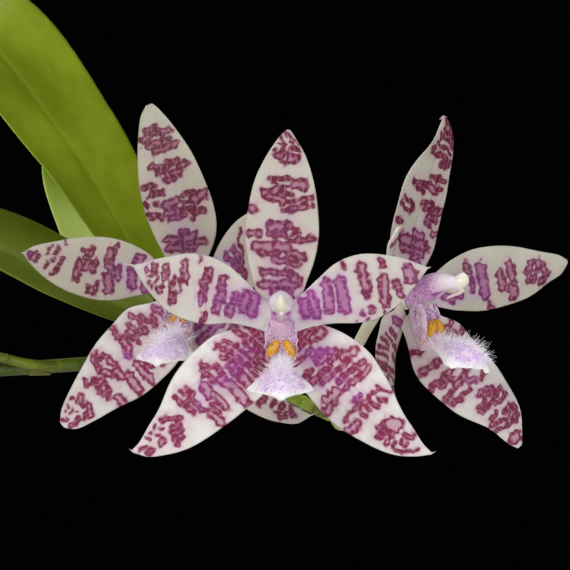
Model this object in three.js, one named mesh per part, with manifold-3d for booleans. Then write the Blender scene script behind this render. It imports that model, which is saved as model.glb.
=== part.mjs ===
// A phalaenopsis hieroglyphica in its clay pot: three open flowers on an arching stem.
// Millimetres, +Z up. The origin is the centre of the pot's underside, X runs towards the flowers
// and the flowers look along -Y.
import * as THREE from "three";
import { mergeVertices } from "three/addons/utils/BufferGeometryUtils.js";
import Module from "manifold-3d";

const wasm = await Module();
wasm.setup();

// Driving dimensions
const contactGap = 0.3;
const potHeight = 104;
const potFootRadius = 44;
const potShoulderRadius = 56;
const potRimRadius = 61;
const potRimHeight = 22;
const potWall = 5;
const potBase = 6;
const potEdge = 1.2;
const barkTop = 91;
const barkDome = 2;
const barkFlatPart = 0.6;
const barkSideGap = 0.4;
const stemFoot = 79;
const stemTop = 128;
const stemRadius = 9;
const leafThickness = 2;
const tepalThickness = 0.9;
const rachisRadius = 1.75;
const rachisTaper = 0.15;
const pedicelRadius = 1.5;
const rootRadius = 2.2;
const potSegments = 36;
const stalkSides = 8;

const tepalStations = 12;
const leafStations = 12;
const bladeColumns = 4;

// Outlines of blades: half widths, as parts of the widest, at these fractions of the length
const shapeFractions = [0, 0.1, 0.25, 0.4, 0.55, 0.7, 0.85, 0.95, 1];
const shapes = {
  leaf: [0.26, 0.38, 0.62, 0.86, 1, 0.98, 0.78, 0.48, 0.14],
  petal: [0.08, 0.36, 0.7, 0.95, 1, 0.85, 0.55, 0.25, 0.03],
  lateral: [0.07, 0.56, 0.95, 1, 0.93, 0.73, 0.45, 0.2, 0.03],
  bluntLateral: [0.07, 0.56, 0.95, 1, 0.95, 0.8, 0.57, 0.36, 0.1],
  bluntDorsal: [0.07, 0.5, 0.92, 1, 0.96, 0.83, 0.57, 0.36, 0.1],
  dorsal: [0.07, 0.5, 0.92, 1, 0.95, 0.81, 0.51, 0.27, 0.03],
  lip: [0.14, 0.2, 0.3, 0.36, 0.42, 0.56, 1, 0.66, 0.06],
  bract: [0.8, 0.95, 1, 0.95, 0.85, 0.7, 0.45, 0.25, 0.1],
};

// The flowers: the middle of each, the direction that it looks, as a turn from -Y towards +X, and how far
// its column and lip tilt up.
// Each spine runs from the flower's middle to the tip, in the axes of the whole plant.
const flowers = {
  b: {
    centre: [149.1, -62, 124.2],
    turn: 0,
    tilt: 0,
    tepals: {
      sepal_dorsal: {
        shape: "dorsal",
        halfWidth: 8.9,
        cup: 0.06,
        spine: [[0, 0.6, 2.6], [0.1, -0.4, 13.6], [0.4, -0.6, 23.8], [0.9, 0.2, 34.1], [1.7, 2, 44.5]],
      },
      petal_left: {
        shape: "petal",
        halfWidth: 8.1,
        cup: -0.05,
        spine: [
          [-2.6, -0.4, 1.1], [-10.5, -1.8, 3.8], [-18.5, -2, 6.6], [-26.7, -0.6, 9.1],
          [-34.9, 2.4, 12.3],
        ],
      },
      petal_right: {
        shape: "petal",
        halfWidth: 8,
        cup: -0.05,
        spine: [[2.6, -0.4, 1.1], [10.4, -1.8, 3.9], [18.3, -2, 6.7], [26.4, -0.6, 9.1], [34.6, 2.4, 11.8]],
      },
      sepal_left: {
        shape: "lateral",
        halfWidth: 9.3,
        cup: -0.08,
        spine: [
          [-1.3, 0.8, -1.8], [-8.9, 0.6, -10.2], [-17.4, 0.6, -17.7], [-25.5, 2, -25.8],
          [-35.3, 5, -31.8],
        ],
      },
      sepal_right: {
        shape: "lateral",
        halfWidth: 8.9,
        cup: -0.08,
        spine: [[1.3, 1.6, -1.8], [9.9, 1.2, -9.3], [17.7, 0.8, -17.7], [25.9, 2, -25.8], [35.5, 5, -32.3]],
      },
    },
  },
  a: {
    centre: [125.6, -31, 130],
    turn: -18,
    tilt: 5,
    tepals: {
      sepal_dorsal: {
        shape: "bluntDorsal",
        halfWidth: 9.3,
        cup: 0.06,
        spine: [[-0.3, 0.6, 2.6], [-0.8, 0.6, 14.3], [-3.5, 1, 25.5], [-6.7, 2, 36.6], [-9.3, 4, 47.9]],
      },
      petal_left: {
        shape: "petal",
        halfWidth: 8.3,
        cup: -0.05,
        spine: [[-2.6, 0.4, 0.9], [-12.1, 2, 4.3], [-22.2, 4, 5.9], [-32.1, 5, 8.1], [-42.2, 7, 10.2]],
      },
      petal_right: {
        shape: "petal",
        halfWidth: 7.6,
        cup: -0.05,
        spine: [[2.1, -1.4, 1.5], [7.6, -4, 4.7], [12.5, -6, 9.6], [16.9, -8, 14.8], [20.7, -9, 20.5]],
      },
      sepal_left: {
        shape: "bluntLateral",
        halfWidth: 9.8,
        cup: -0.08,
        spine: [
          [-1.4, 1.2, -2.4], [-8.6, 3, -10.6], [-16.2, 5, -18.5], [-24.2, 8, -26.4],
          [-32.9, 11, -33.8],
        ],
      },
      sepal_right: {
        shape: "lateral",
        halfWidth: 8.6,
        cup: -0.08,
        spine: [
          [1.2, 0.6, -2.4], [6.8, -2.5, -10.6], [14.1, -6, -18.2], [22, -9.5, -25.1],
          [30.8, -12, -29.9],
        ],
      },
    },
  },
  c: {
    centre: [181, -34, 127.5],
    turn: 55,
    tilt: 7,
    tepals: {
      sepal_dorsal: {
        shape: "dorsal",
        halfWidth: 9.2,
        cup: 0.06,
        facing: [0.72, -0.69, 0],
        spine: [[0, 0.6, 2.6], [0.7, 2, 14.3], [3.6, 4, 25.5], [7.1, 6, 36.5], [9.6, 8, 47.7]],
      },
      petal_left: {
        shape: "petal",
        halfWidth: 7.6,
        cup: -0.05,
        facing: [1, -0.12, 0.1],
        spine: [[-1.3, -2.2, 1.6], [-3.2, -7, 5.7], [-4.9, -12, 9.8], [-5.2, -17, 13.8], [-4.4, -21, 17.9]],
      },
      petal_right: {
        shape: "petal",
        halfWidth: 8.2,
        cup: -0.05,
        spine: [[1.8, 1.6, 1.1], [11.6, 5, 3.5], [21.6, 9, 6], [31.9, 13, 7.9], [42, 16, 10.7]],
      },
      sepal_left: {
        shape: "lateral",
        halfWidth: 8.4,
        cup: -0.08,
        facing: [0.94, -0.34, 0],
        spine: [
          [-1.3, -0.6, -2.2], [-4.6, -4, -8.6], [-5.8, -9, -16.3], [-4.7, -13, -23.7],
          [-3.7, -16, -31.1],
        ],
      },
      sepal_right: {
        shape: "bluntLateral",
        halfWidth: 9.9,
        cup: -0.08,
        facing: [0.5, -0.86, 0.1],
        spine: [[0.9, 1.5, -2.1], [7.4, 4, -10.9], [14.8, 7, -19.3], [22.6, 10, -27.3], [29.2, 13, -36.8]],
      },
    },
  },
};

// A flower's middle, in its own axes: right, forward and up
const columnSpine = [[0, 0.1, 0], [0, 5, 0.5], [0, 10, 1.6], [0, 14, 2.9], [0, 16.2, 3.6]];
const columnRadii = [[2.1, 2.1], [2, 1.9], [2.2, 2.1], [2.8, 2.7], [2.1, 2.1]];
const columnSteps = 6;
const columnSides = 10;
const capCentre = [0, 17.9, 4];
const capRadii = [1.8, 1.3, 2.1];
const lipSpine = [[0, 1, -3], [0, 4.8, -7.2], [0, 9.4, -10.8], [0, 14.6, -14.6], [0, 20.4, -19.6]];
const lipHalfWidth = 7.9;
const lipFacing = [0, 0.6, 0.8];
const sideLobeSpine = [
  [1.4, 4.4, -7.6], [2.6, 5.6, -6], [3.3, 6.6, -4.3], [3.6, 7.4, -2.8], [3.4, 8, -1.6],
];
const sideLobeHalfWidth = 2.4;
const callusCentre = [1.9, 7.4, -7.9];
const callusRadii = [1.35, 1.7, 2];

const rachisRoute = [
  [3.6, -9.6, 104], [16, -21, 109], [36, -21.5, 111.2], [60, -17.5, 109.6], [83.4, -14, 110.5],
  [104, -11.5, 112],
  [125, -11, 114.2], [138, -13, 110.4], [149, -15, 104.6], [156, -16.5, 101], [162, -17.5, 98.2],
];
const branchRoute = [
  [86.5, -17, 111.2], [81, -18.8, 112.6], [75, -21, 114.4], [64, -28, 121], [53, -38, 133],
  [46, -46, 147],
];
const pedicelRoutes = {
  a: [[114, -8, 117.5], [120, -4, 123], [127.5, -9, 128]],
  b: [[148, -11.6, 109], [146.6, -8, 117], [148.4, -20, 124]],
  c: [[160.4, -17.4, 105], [164, -19.5, 110], [168.3, -23, 116.3], [171.6, -26, 122.4]],
};
const pedicelStraight = 7;
const pedicelEnd = 0.45;
const bractLength = 5.6;
const bractHalfWidth = 1.7;
const bractStandOff = 0.85;
const bractFlare = 0.64;
const budSteps = 8;
const budNeck = 0.12;
const budSwell = 0.22;
const budTipRadius = 0.4;

// Leaves: those on the right arch past the flowers, those on the left balance them
const leaves = {
  leaf_1: {
    halfWidth: 26,
    acrossBase: [0.1, -0.99, 0],
    across: [-0.42, -0.86, -0.3],
    spine: [[9.7, 1, 114], [26, 12, 170], [57, 27, 209], [87, 36, 175], [114, 38, 129]],
  },
  leaf_2: {
    halfWidth: 24,
    acrossBase: [-0.05, -0.99, 0],
    across: [-0.11, -0.95, -0.29],
    spine: [[10.1, -0.5, 97], [32, -1, 136], [62, 1, 144.5], [91, 2, 132.5], [116, 3, 121.5]],
  },
  leaf_3: {
    halfWidth: 23,
    acrossBase: [0.8, -0.6, 0],
    across: [-0.4, -0.88, -0.25],
    spine: [[6.1, 8.1, 105], [20, 42, 148], [48, 63, 186.5], [80, 63, 177], [91.5, 62, 133]],
  },
  leaf_4: {
    halfWidth: 27,
    acrossBase: [0.05, 0.99, 0],
    across: [0.05, 0.96, 0.25],
    spine: [[-10.1, 0.5, 96], [-36, 3, 132], [-68, 4, 140], [-100, 2, 127], [-124, -2, 103]],
  },
  leaf_5: {
    halfWidth: 25,
    acrossBase: [-0.37, 0.93, 0],
    across: [0.25, 0.95, 0.2],
    spine: [[-9.3, -3.7, 106], [-25, -12, 156], [-52, -22, 183], [-84, -30, 172], [-108, -36, 142]],
  },
  leaf_6: {
    halfWidth: 23,
    acrossBase: [0.79, 0.61, 0],
    across: [0.8, 0.55, 0.1],
    spine: [[-6, 7.9, 110], [-16, 26, 158], [-28, 48, 186], [-42, 74, 190], [-54, 96, 172]],
  },
  leaf_7: {
    halfWidth: 12,
    acrossBase: [-0.1, -0.99, 0],
    across: [-0.1, -0.99, 0],
    spine: [[0.6, 0.4, 128.6], [2, 1, 142], [5, 1, 156], [10, 0, 169], [18, -2, 180]],
  },
};

// Roots: each starts beside the stem, lies over the bark and may hang over the rim
const roots = {
  root_1: [
    [-7, -6.4, 94.4], [-22, -20, 94.6], [-34, -31, 99.5], [-41, -38, 107.4], [-47, -44, 107],
    [-50.5, -47.5, 96], [-50, -47.5, 78],
  ],
  root_2: [
    [7, 6.4, 94.4], [20, 20, 94.8], [32, 31, 99], [40, 38.6, 107.4], [46.5, 44.6, 106.4],
    [50, 47.5, 92], [49, 46.5, 70],
  ],
  root_3: [[6.4, -7, 94.2], [20, -20, 93.9], [34, -26, 93.8], [44, -20, 93.6]],
  root_4: [[-6.4, 7, 94.2], [-18, 22, 93.9], [-22, 36, 93.8], [-14, 45, 93.6]],
};

const colours = {
  clay: 0xb5623d,
  bark: 0x5a3d28,
  leaf: 0x5d7d1e,
  stem: 0x6f8a2c,
  root: 0xa9ad94,
  pedicel: 0xd5dcb4,
  tepal: 0xe6e2d8,
  column: 0xd9a6d0,
  cap: 0xf2ead0,
  lip: 0xe6d3e8,
  bract: 0x8a8a45,
  bud: 0xb9c58a,
};

const group = new THREE.Group();

function material(colour, roughness) {
  return new THREE.MeshStandardMaterial({ color: colour, roughness, metalness: 0 });
}

function add(name, geometry, colour, roughness = 0.6) {
  const mesh = new THREE.Mesh(geometry, material(colour, roughness));
  mesh.name = name;
  group.add(mesh);
  return mesh;
}

function vector(values) {
  return new THREE.Vector3(...values);
}

// A smooth curve through points, and its value and direction at a fraction of its length
function curveThrough(points) {
  return new THREE.CatmullRomCurve3(points.map(vector), false, "catmullrom", 0.5);
}

// A smooth run of numbers that are given at the shape fractions
function profileAt(values, fraction) {
  let k = 0;
  while (k < shapeFractions.length - 2 && fraction > shapeFractions[k + 1]) {
    k += 1;
  }
  const span = shapeFractions[k + 1] - shapeFractions[k];
  const t = THREE.MathUtils.clamp((fraction - shapeFractions[k]) / span, 0, 1);
  const slope = (i) => {
    const low = Math.max(i - 1, 0);
    const high = Math.min(i + 1, values.length - 1);
    return (values[high] - values[low]) / (shapeFractions[high] - shapeFractions[low]);
  };
  const t2 = t * t;
  const t3 = t2 * t;
  return (
    (2 * t3 - 3 * t2 + 1) * values[k] +
    (t3 - 2 * t2 + t) * span * slope(k) +
    (3 * t2 - 2 * t3) * values[k + 1] +
    (t3 - t2) * span * slope(k + 1)
  );
}

// Closed solid through rings of points, all with the same count, with flat ends
function loft(rings) {
  const size = rings[0].length;
  const positions = rings.flat().flatMap((p) => [p.x, p.y, p.z]);
  const faces = [];
  for (let i = 0; i + 1 < rings.length; i += 1) {
    for (let j = 0; j < size; j += 1) {
      const a = i * size + j;
      const b = i * size + ((j + 1) % size);
      faces.push(a, b, a + size);
      faces.push(b, b + size, a + size);
    }
  }
  const last = (rings.length - 1) * size;
  for (let j = 1; j + 1 < size; j += 1) {
    faces.push(0, j + 1, j);
    faces.push(last, last + j, last + j + 1);
  }
  const geometry = new THREE.BufferGeometry();
  geometry.setAttribute("position", new THREE.Float32BufferAttribute(positions, 3));
  geometry.setIndex(faces);
  geometry.computeVertexNormals();
  return geometry;
}

// The directions along, across and out of a blade at a fraction of its spine
function bladeFrame(curve, spec, fraction) {
  const along = curve.getTangent(fraction);
  const side = new THREE.Vector3();
  if (spec.across) {
    const turned = THREE.MathUtils.smoothstep(fraction, 0, 0.4);
    side.copy(vector(spec.acrossBase)).lerp(vector(spec.across), turned);
    side.addScaledVector(along, -side.dot(along));
  } else {
    side.crossVectors(along, vector(spec.facing));
  }
  side.normalize();
  const out = new THREE.Vector3().crossVectors(side, along).normalize();
  return { at: curve.getPoint(fraction), side, out };
}

// A leaf, a sepal, a petal or a lip: a curved lens of a given outline along its spine
function blade(spec, stations, acrossCount) {
  const curve = curveThrough(spec.spine);
  const rings = [];
  for (let i = 0; i <= stations; i += 1) {
    const fraction = i / stations;
    const { at, side, out } = bladeFrame(curve, spec, fraction);
    const half = spec.halfWidth * profileAt(shapes[spec.shape], fraction);
    const thick = Math.min(spec.thickness, half) / 2;
    const point = (v, face) => {
      const lift = spec.cup * half * v * v + face * thick * Math.sqrt(1 - v * v);
      return at.clone().addScaledVector(side, half * v).addScaledVector(out, lift);
    };
    const ring = [];
    for (let j = 0; j <= acrossCount; j += 1) {
      ring.push(point((2 * j) / acrossCount - 1, 1));
    }
    for (let j = acrossCount - 1; j > 0; j -= 1) {
      ring.push(point((2 * j) / acrossCount - 1, -1));
    }
    rings.push(ring);
  }
  return loft(rings);
}

// A round stalk along a route, from one radius to another
function stalk(route, startRadius, endRadius, steps) {
  const curve = curveThrough(route);
  const rings = [];
  const side = new THREE.Vector3(0.31, 0.9, 0.27);
  for (let i = 0; i <= steps; i += 1) {
    const fraction = i / steps;
    const along = curve.getTangent(fraction);
    side.addScaledVector(along, -side.dot(along)).normalize();
    const other = new THREE.Vector3().crossVectors(along, side);
    const radius = startRadius + (endRadius - startRadius) * fraction;
    const ring = [];
    for (let j = 0; j < stalkSides; j += 1) {
      const angle = (2 * Math.PI * j) / stalkSides;
      const p = curve.getPoint(fraction);
      p.addScaledVector(side, radius * Math.cos(angle));
      p.addScaledVector(other, radius * Math.sin(angle));
      ring.push(p);
    }
    rings.push(ring);
  }
  return loft(rings);
}

// A solid of turning about the upright axis, from points of radius and height
function turned(points, segments) {
  const geometry = new THREE.LatheGeometry(points.map((p) => new THREE.Vector2(...p)), segments);
  geometry.rotateX(Math.PI / 2);
  return geometry;
}

// Joins several closed meshes into one with booleans
function joined(geometries) {
  const solids = geometries.map((geometry) => {
    const plain = geometry.clone();
    plain.deleteAttribute("normal");
    plain.deleteAttribute("uv");
    const merged = mergeVertices(plain, 1e-4);
    const vertProperties = new Float32Array(merged.attributes.position.array);
    const triVerts = new Uint32Array(merged.index.array);
    return new wasm.Manifold(new wasm.Mesh({ numProp: 3, vertProperties, triVerts }));
  });
  const mesh = solids.reduce((sum, solid) => sum.add(solid)).getMesh();
  const geometry = new THREE.BufferGeometry();
  geometry.setAttribute("position", new THREE.BufferAttribute(mesh.vertProperties, 3));
  geometry.setIndex(new THREE.BufferAttribute(mesh.triVerts, 1));
  geometry.computeVertexNormals();
  return geometry;
}

// The direction that a flower looks, level
function facingOf(flower) {
  const turn = THREE.MathUtils.degToRad(flower.turn);
  return new THREE.Vector3(Math.sin(turn), -Math.cos(turn), 0);
}

// Puts a geometry from a flower's own axes (right, forward, up) into the plant's
function placed(geometry, flower) {
  const level = facingOf(flower);
  const right = new THREE.Vector3(-level.y, level.x, 0);
  const tilt = THREE.MathUtils.degToRad(flower.tilt);
  const forward = level.multiplyScalar(Math.cos(tilt)).add(new THREE.Vector3(0, 0, Math.sin(tilt)));
  const up = new THREE.Vector3().crossVectors(forward, right);
  const move = new THREE.Matrix4().makeBasis(right, forward, up);
  move.setPosition(vector(flower.centre));
  geometry.applyMatrix4(move);
  geometry.index.array.reverse();
  geometry.computeVertexNormals();
  return geometry;
}

function ellipsoid(centre, radii, wide, high) {
  const geometry = new THREE.SphereGeometry(1, wide, high);
  geometry.scale(...radii);
  geometry.translate(...centre);
  return geometry;
}

function mirrored(points) {
  return points.map(([x, y, z]) => [-x, y, z]);
}

// The pot's inside from its floor up: radius and height of the floor's edge, the shoulder and the mouth
const rimFoot = potHeight - potRimHeight;
const potInside = [
  [potFootRadius - potWall, potBase],
  [potShoulderRadius - potWall + 2, rimFoot - 4],
  [potRimRadius - potWall, potHeight - potEdge],
];

function addPot() {
  const outline = [
    [0, 0],
    [potFootRadius - potEdge, 0],
    [potFootRadius, potEdge],
    [potShoulderRadius, rimFoot],
    [potRimRadius - potEdge, rimFoot],
    [potRimRadius, rimFoot + potEdge],
    [potRimRadius, potHeight - potEdge],
    [potRimRadius - potEdge, potHeight],
    [potRimRadius - potWall + potEdge, potHeight],
    ...[...potInside].reverse(),
    [0, potBase],
  ];
  add("pot", turned(outline, potSegments), colours.clay, 0.9);
}

// The bark's radius at a height, a contact gap inside the pot
function barkRadius(height) {
  const [low, middle, high] = potInside;
  const [from, to] = height < middle[1] ? [low, middle] : [middle, high];
  return THREE.MathUtils.mapLinear(height, from[1], to[1], from[0], to[0]) - barkSideGap;
}

function addBark() {
  const bottom = potBase + contactGap;
  const shoulder = potInside[1][1];
  const edge = barkTop - barkDome;
  const well = stemRadius + contactGap;
  const wellFloor = stemFoot - contactGap;
  const outline = [
    [0, bottom],
    [barkRadius(bottom), bottom],
    [barkRadius(shoulder), shoulder],
    [barkRadius(edge), edge],
    [barkRadius(edge) * barkFlatPart, barkTop],
    [well, barkTop],
    [well, wellFloor],
    [0, wellFloor],
  ];
  add("bark_medium", turned(outline, potSegments), colours.bark, 0.95);
}

function addStem() {
  const shoulder = stemRadius - 1.6;
  const outline = [
    [0, stemFoot],
    [stemRadius - 1, stemFoot],
    [stemRadius, stemFoot + 3],
    [stemRadius, stemTop - 18],
    [shoulder, stemTop - 5],
    [shoulder - 2.5, stemTop - 1],
    [0, stemTop],
  ];
  add("stem", turned(outline, 20), colours.stem, 0.6);
}

function addLeaves() {
  for (const [name, leaf] of Object.entries(leaves)) {
    const spec = { shape: "leaf", cup: 0.16, thickness: leafThickness, ...leaf };
    add(name, blade(spec, leafStations, bladeColumns), colours.leaf, 0.45);
  }
}

function addRoots() {
  for (const [name, route] of Object.entries(roots)) {
    add(name, stalk(route, rootRadius, rootRadius * 0.8, 16), colours.root, 0.8);
  }
}

// The point of a route that lies nearest to a place
function nearestOn(curve, place) {
  const points = curve.getPoints(400);
  return points.reduce((best, p) => (p.distanceTo(place) < best.distanceTo(place) ? p : best));
}

// Where a stalk starts that grows out of another one towards a place
function seatOn(route, radius, place) {
  const foot = nearestOn(curveThrough(route), place);
  const away = place.clone().sub(foot).normalize();
  return foot.addScaledVector(away, radius + contactGap);
}

function addStalks() {
  const startRadius = rachisRadius + rachisTaper;
  const endRadius = rachisRadius - rachisTaper;
  add("peduncle", stalk(rachisRoute, startRadius, endRadius, 36), colours.stem);
  add("side_branch", stalk(branchRoute, rachisRadius - 0.3, 0.9, 16), colours.stem);
  for (const [name, flower] of Object.entries(flowers)) {
    const forward = facingOf(flower);
    const centre = vector(flower.centre);
    const behind = (distance) => centre.clone().addScaledVector(forward, -distance).toArray();
    const seat = seatOn(rachisRoute, rachisRadius, vector(pedicelRoutes[name][0])).toArray();
    const route = [seat, ...pedicelRoutes[name], behind(pedicelStraight), behind(pedicelEnd)];
    add(`pedicel_${name}`, stalk(route, pedicelRadius * 0.85, pedicelRadius * 1.1, 16), colours.pedicel);
  }
}

// A scale at each joint of the flower stem, lying against it
function addBracts() {
  const rachis = curveThrough(rachisRoute);
  const scales = {
    bract_1: { place: [83.4, -14, 110.5], lift: [0, -0.3, -1] },
    bract_2: { place: [113.5, -11, 113], lift: [0, -1, 0.1] },
    bract_3: { place: [157.5, -17, 100.5], lift: [0.3, -1, -0.1] },
  };
  for (const [name, scale] of Object.entries(scales)) {
    const foot = nearestOn(rachis, vector(scale.place));
    const ahead = nearestOn(rachis, vector(scale.place).add(new THREE.Vector3(5, 0, 0)));
    const along = ahead.clone().sub(foot).normalize();
    const lift = vector(scale.lift);
    lift.addScaledVector(along, -lift.dot(along)).normalize();
    const spine = [0, 1, 2, 3, 4].map((k) => {
      const p = foot.clone().addScaledVector(along, (bractLength * k) / 4);
      return p.addScaledVector(lift, rachisRadius + bractStandOff + (bractFlare * k) / 4).toArray();
    });
    const facing = lift.toArray();
    const spec = { shape: "bract", halfWidth: bractHalfWidth, cup: -0.3, thickness: 0.5, facing, spine };
    add(name, blade(spec, 6, bladeColumns), colours.bract);
  }
}

// A closed bud: a pointed egg from its seat along a direction
function budGeometry(seat, along, length) {
  const side = new THREE.Vector3(0.2, 0.3, 0.93);
  side.addScaledVector(along, -side.dot(along)).normalize();
  const other = new THREE.Vector3().crossVectors(along, side);
  const rings = [];
  for (let i = 0; i <= budSteps; i += 1) {
    const t = i / budSteps;
    const swell = budNeck + budSwell * Math.sin(Math.PI * t ** 0.8);
    const radius = i === budSteps ? budTipRadius : swell * length;
    const middle = seat.clone().addScaledVector(along, length * t);
    const ring = [];
    for (let j = 0; j < stalkSides; j += 1) {
      const angle = (2 * Math.PI * j) / stalkSides;
      const p = middle.clone().addScaledVector(side, radius * Math.cos(angle));
      ring.push(p.addScaledVector(other, radius * Math.sin(angle)));
    }
    rings.push(ring);
  }
  return loft(rings);
}

function addBuds() {
  const branch = curveThrough(branchRoute);
  const rachis = curveThrough(rachisRoute);
  const buds = {
    bud_1: { at: branch.getPoint(1), along: branch.getTangent(1), length: 9, offset: 0 },
    bud_2: { at: branch.getPoint(0.86), along: vector([0.77, -0.56, 0.36]), length: 7, offset: 1.1 },
    bud_3: { at: branch.getPoint(0.7), along: vector([-0.93, 0.35, -0.12]), length: 6, offset: 1.3 },
    bud_4: { at: rachis.getPoint(1), along: rachis.getTangent(1), length: 7, offset: 0 },
  };
  for (const [name, bud] of Object.entries(buds)) {
    const along = bud.along.normalize();
    const seat = bud.at.addScaledVector(along, bud.offset + contactGap);
    add(name, budGeometry(seat, along, bud.length), colours.bud);
  }
}

function columnGeometry() {
  const curve = curveThrough(columnSpine);
  const rings = [];
  for (let i = 0; i <= columnSteps; i += 1) {
    const fraction = i / columnSteps;
    const scaled = fraction * (columnRadii.length - 1);
    const k = Math.min(Math.floor(scaled), columnRadii.length - 2);
    const wide = THREE.MathUtils.lerp(columnRadii[k][0], columnRadii[k + 1][0], scaled - k);
    const high = THREE.MathUtils.lerp(columnRadii[k][1], columnRadii[k + 1][1], scaled - k);
    const at = curve.getPoint(fraction);
    const along = curve.getTangent(fraction);
    const right = new THREE.Vector3(1, 0, 0);
    const up = new THREE.Vector3().crossVectors(right, along);
    const ring = [];
    for (let j = 0; j < columnSides; j += 1) {
      const angle = (2 * Math.PI * j) / columnSides;
      const p = at.clone().addScaledVector(right, wide * Math.cos(angle));
      ring.push(p.addScaledVector(up, high * Math.sin(angle)));
    }
    rings.push(ring.reverse());
  }
  return loft(rings);
}

function lipGeometry() {
  const disc = blade(
    { shape: "lip", halfWidth: lipHalfWidth, cup: 0.1, thickness: 0.9, facing: lipFacing, spine: lipSpine },
    10,
    6,
  );
  const lobe = (spine, facing) =>
    blade({ shape: "bract", halfWidth: sideLobeHalfWidth, cup: 0.1, thickness: 0.8, facing, spine }, 4, 4);
  const lobes = [lobe(sideLobeSpine, [-1, 0, 0.2]), lobe(mirrored(sideLobeSpine), [1, 0, 0.2])];
  const centres = [callusCentre, ...mirrored([callusCentre])];
  const calli = centres.map((centre) => ellipsoid(centre, callusRadii, 8, 6));
  return joined([disc, ...lobes, ...calli]);
}

function addFlowers() {
  for (const [name, flower] of Object.entries(flowers)) {
    const facing = facingOf(flower).toArray();
    for (const [part, tepal] of Object.entries(flower.tepals)) {
      const spine = tepal.spine.map((p) => p.map((value, axis) => value + flower.centre[axis]));
      const spec = { facing, thickness: tepalThickness, ...tepal, spine };
      add(`flower_${name}_${part}`, blade(spec, tepalStations, bladeColumns), colours.tepal, 0.5);
    }
    const middleParts = [
      ["column", columnGeometry(), colours.column],
      ["anther_cap", ellipsoid(capCentre, capRadii, 10, 6), colours.cap],
      ["lip", lipGeometry(), colours.lip],
    ];
    for (const [part, geometry, colour] of middleParts) {
      add(`flower_${name}_${part}`, placed(geometry, flower), colour);
    }
  }
}

addPot();
addBark();
addStem();
addLeaves();
addRoots();
addStalks();
addBracts();
addBuds();
addFlowers();

export default group;
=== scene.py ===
import math

import bpy
import numpy as np
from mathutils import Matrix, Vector


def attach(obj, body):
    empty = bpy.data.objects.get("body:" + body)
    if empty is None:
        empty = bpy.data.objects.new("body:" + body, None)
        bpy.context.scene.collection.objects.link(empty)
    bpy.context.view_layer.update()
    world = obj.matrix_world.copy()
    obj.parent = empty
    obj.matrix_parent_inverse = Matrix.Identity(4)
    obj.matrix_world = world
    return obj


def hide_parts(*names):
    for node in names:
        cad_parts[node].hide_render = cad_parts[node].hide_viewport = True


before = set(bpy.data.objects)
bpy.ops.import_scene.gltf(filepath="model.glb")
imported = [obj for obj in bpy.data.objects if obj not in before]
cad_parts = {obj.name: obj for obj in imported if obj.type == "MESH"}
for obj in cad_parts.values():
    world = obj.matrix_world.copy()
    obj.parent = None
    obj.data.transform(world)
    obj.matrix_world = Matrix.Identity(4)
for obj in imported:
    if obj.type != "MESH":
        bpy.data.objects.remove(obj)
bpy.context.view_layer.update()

mm = 0.001


def tint(code):
    # "e6e2d8" as Blender's linear colour
    parts = [int(code[k:k + 2], 16) / 255 for k in (0, 2, 4)]
    return tuple(c / 12.92 if c < 0.04045 else ((c + 0.055) / 1.055) ** 2.4 for c in parts) + (1,)


class Wire:
    # One shader socket that takes part in Python sums
    def __init__(self, finish, socket):
        self.finish = finish
        self.socket = socket

    def sum(self, operation, first, second=0.0):
        return self.finish.node("ShaderNodeMath", {"operation": operation}, {0: first, 1: second})

    def __add__(self, other):
        return self.sum("ADD", self, other)

    def __sub__(self, other):
        return self.sum("SUBTRACT", self, other)

    def __mul__(self, other):
        return self.sum("MULTIPLY", self, other)

    def __rsub__(self, other):
        return self.sum("SUBTRACT", other, self)

    def __abs__(self):
        return self.sum("ABSOLUTE", self)

    def sine(self):
        return self.sum("SINE", self)

    __radd__ = __add__
    __rmul__ = __mul__


surfaceSockets = {
    "colour": "Base Color", "roughness": "Roughness", "coat": "Coat Weight",
    "coatRoughness": "Coat Roughness", "subsurface": "Subsurface Weight",
    "scatter": "Subsurface Scale", "scatterRadius": "Subsurface Radius", "normal": "Normal",
    "specular": "Specular IOR Level", "glow": "Emission Color", "glowStrength": "Emission Strength",
}


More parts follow.
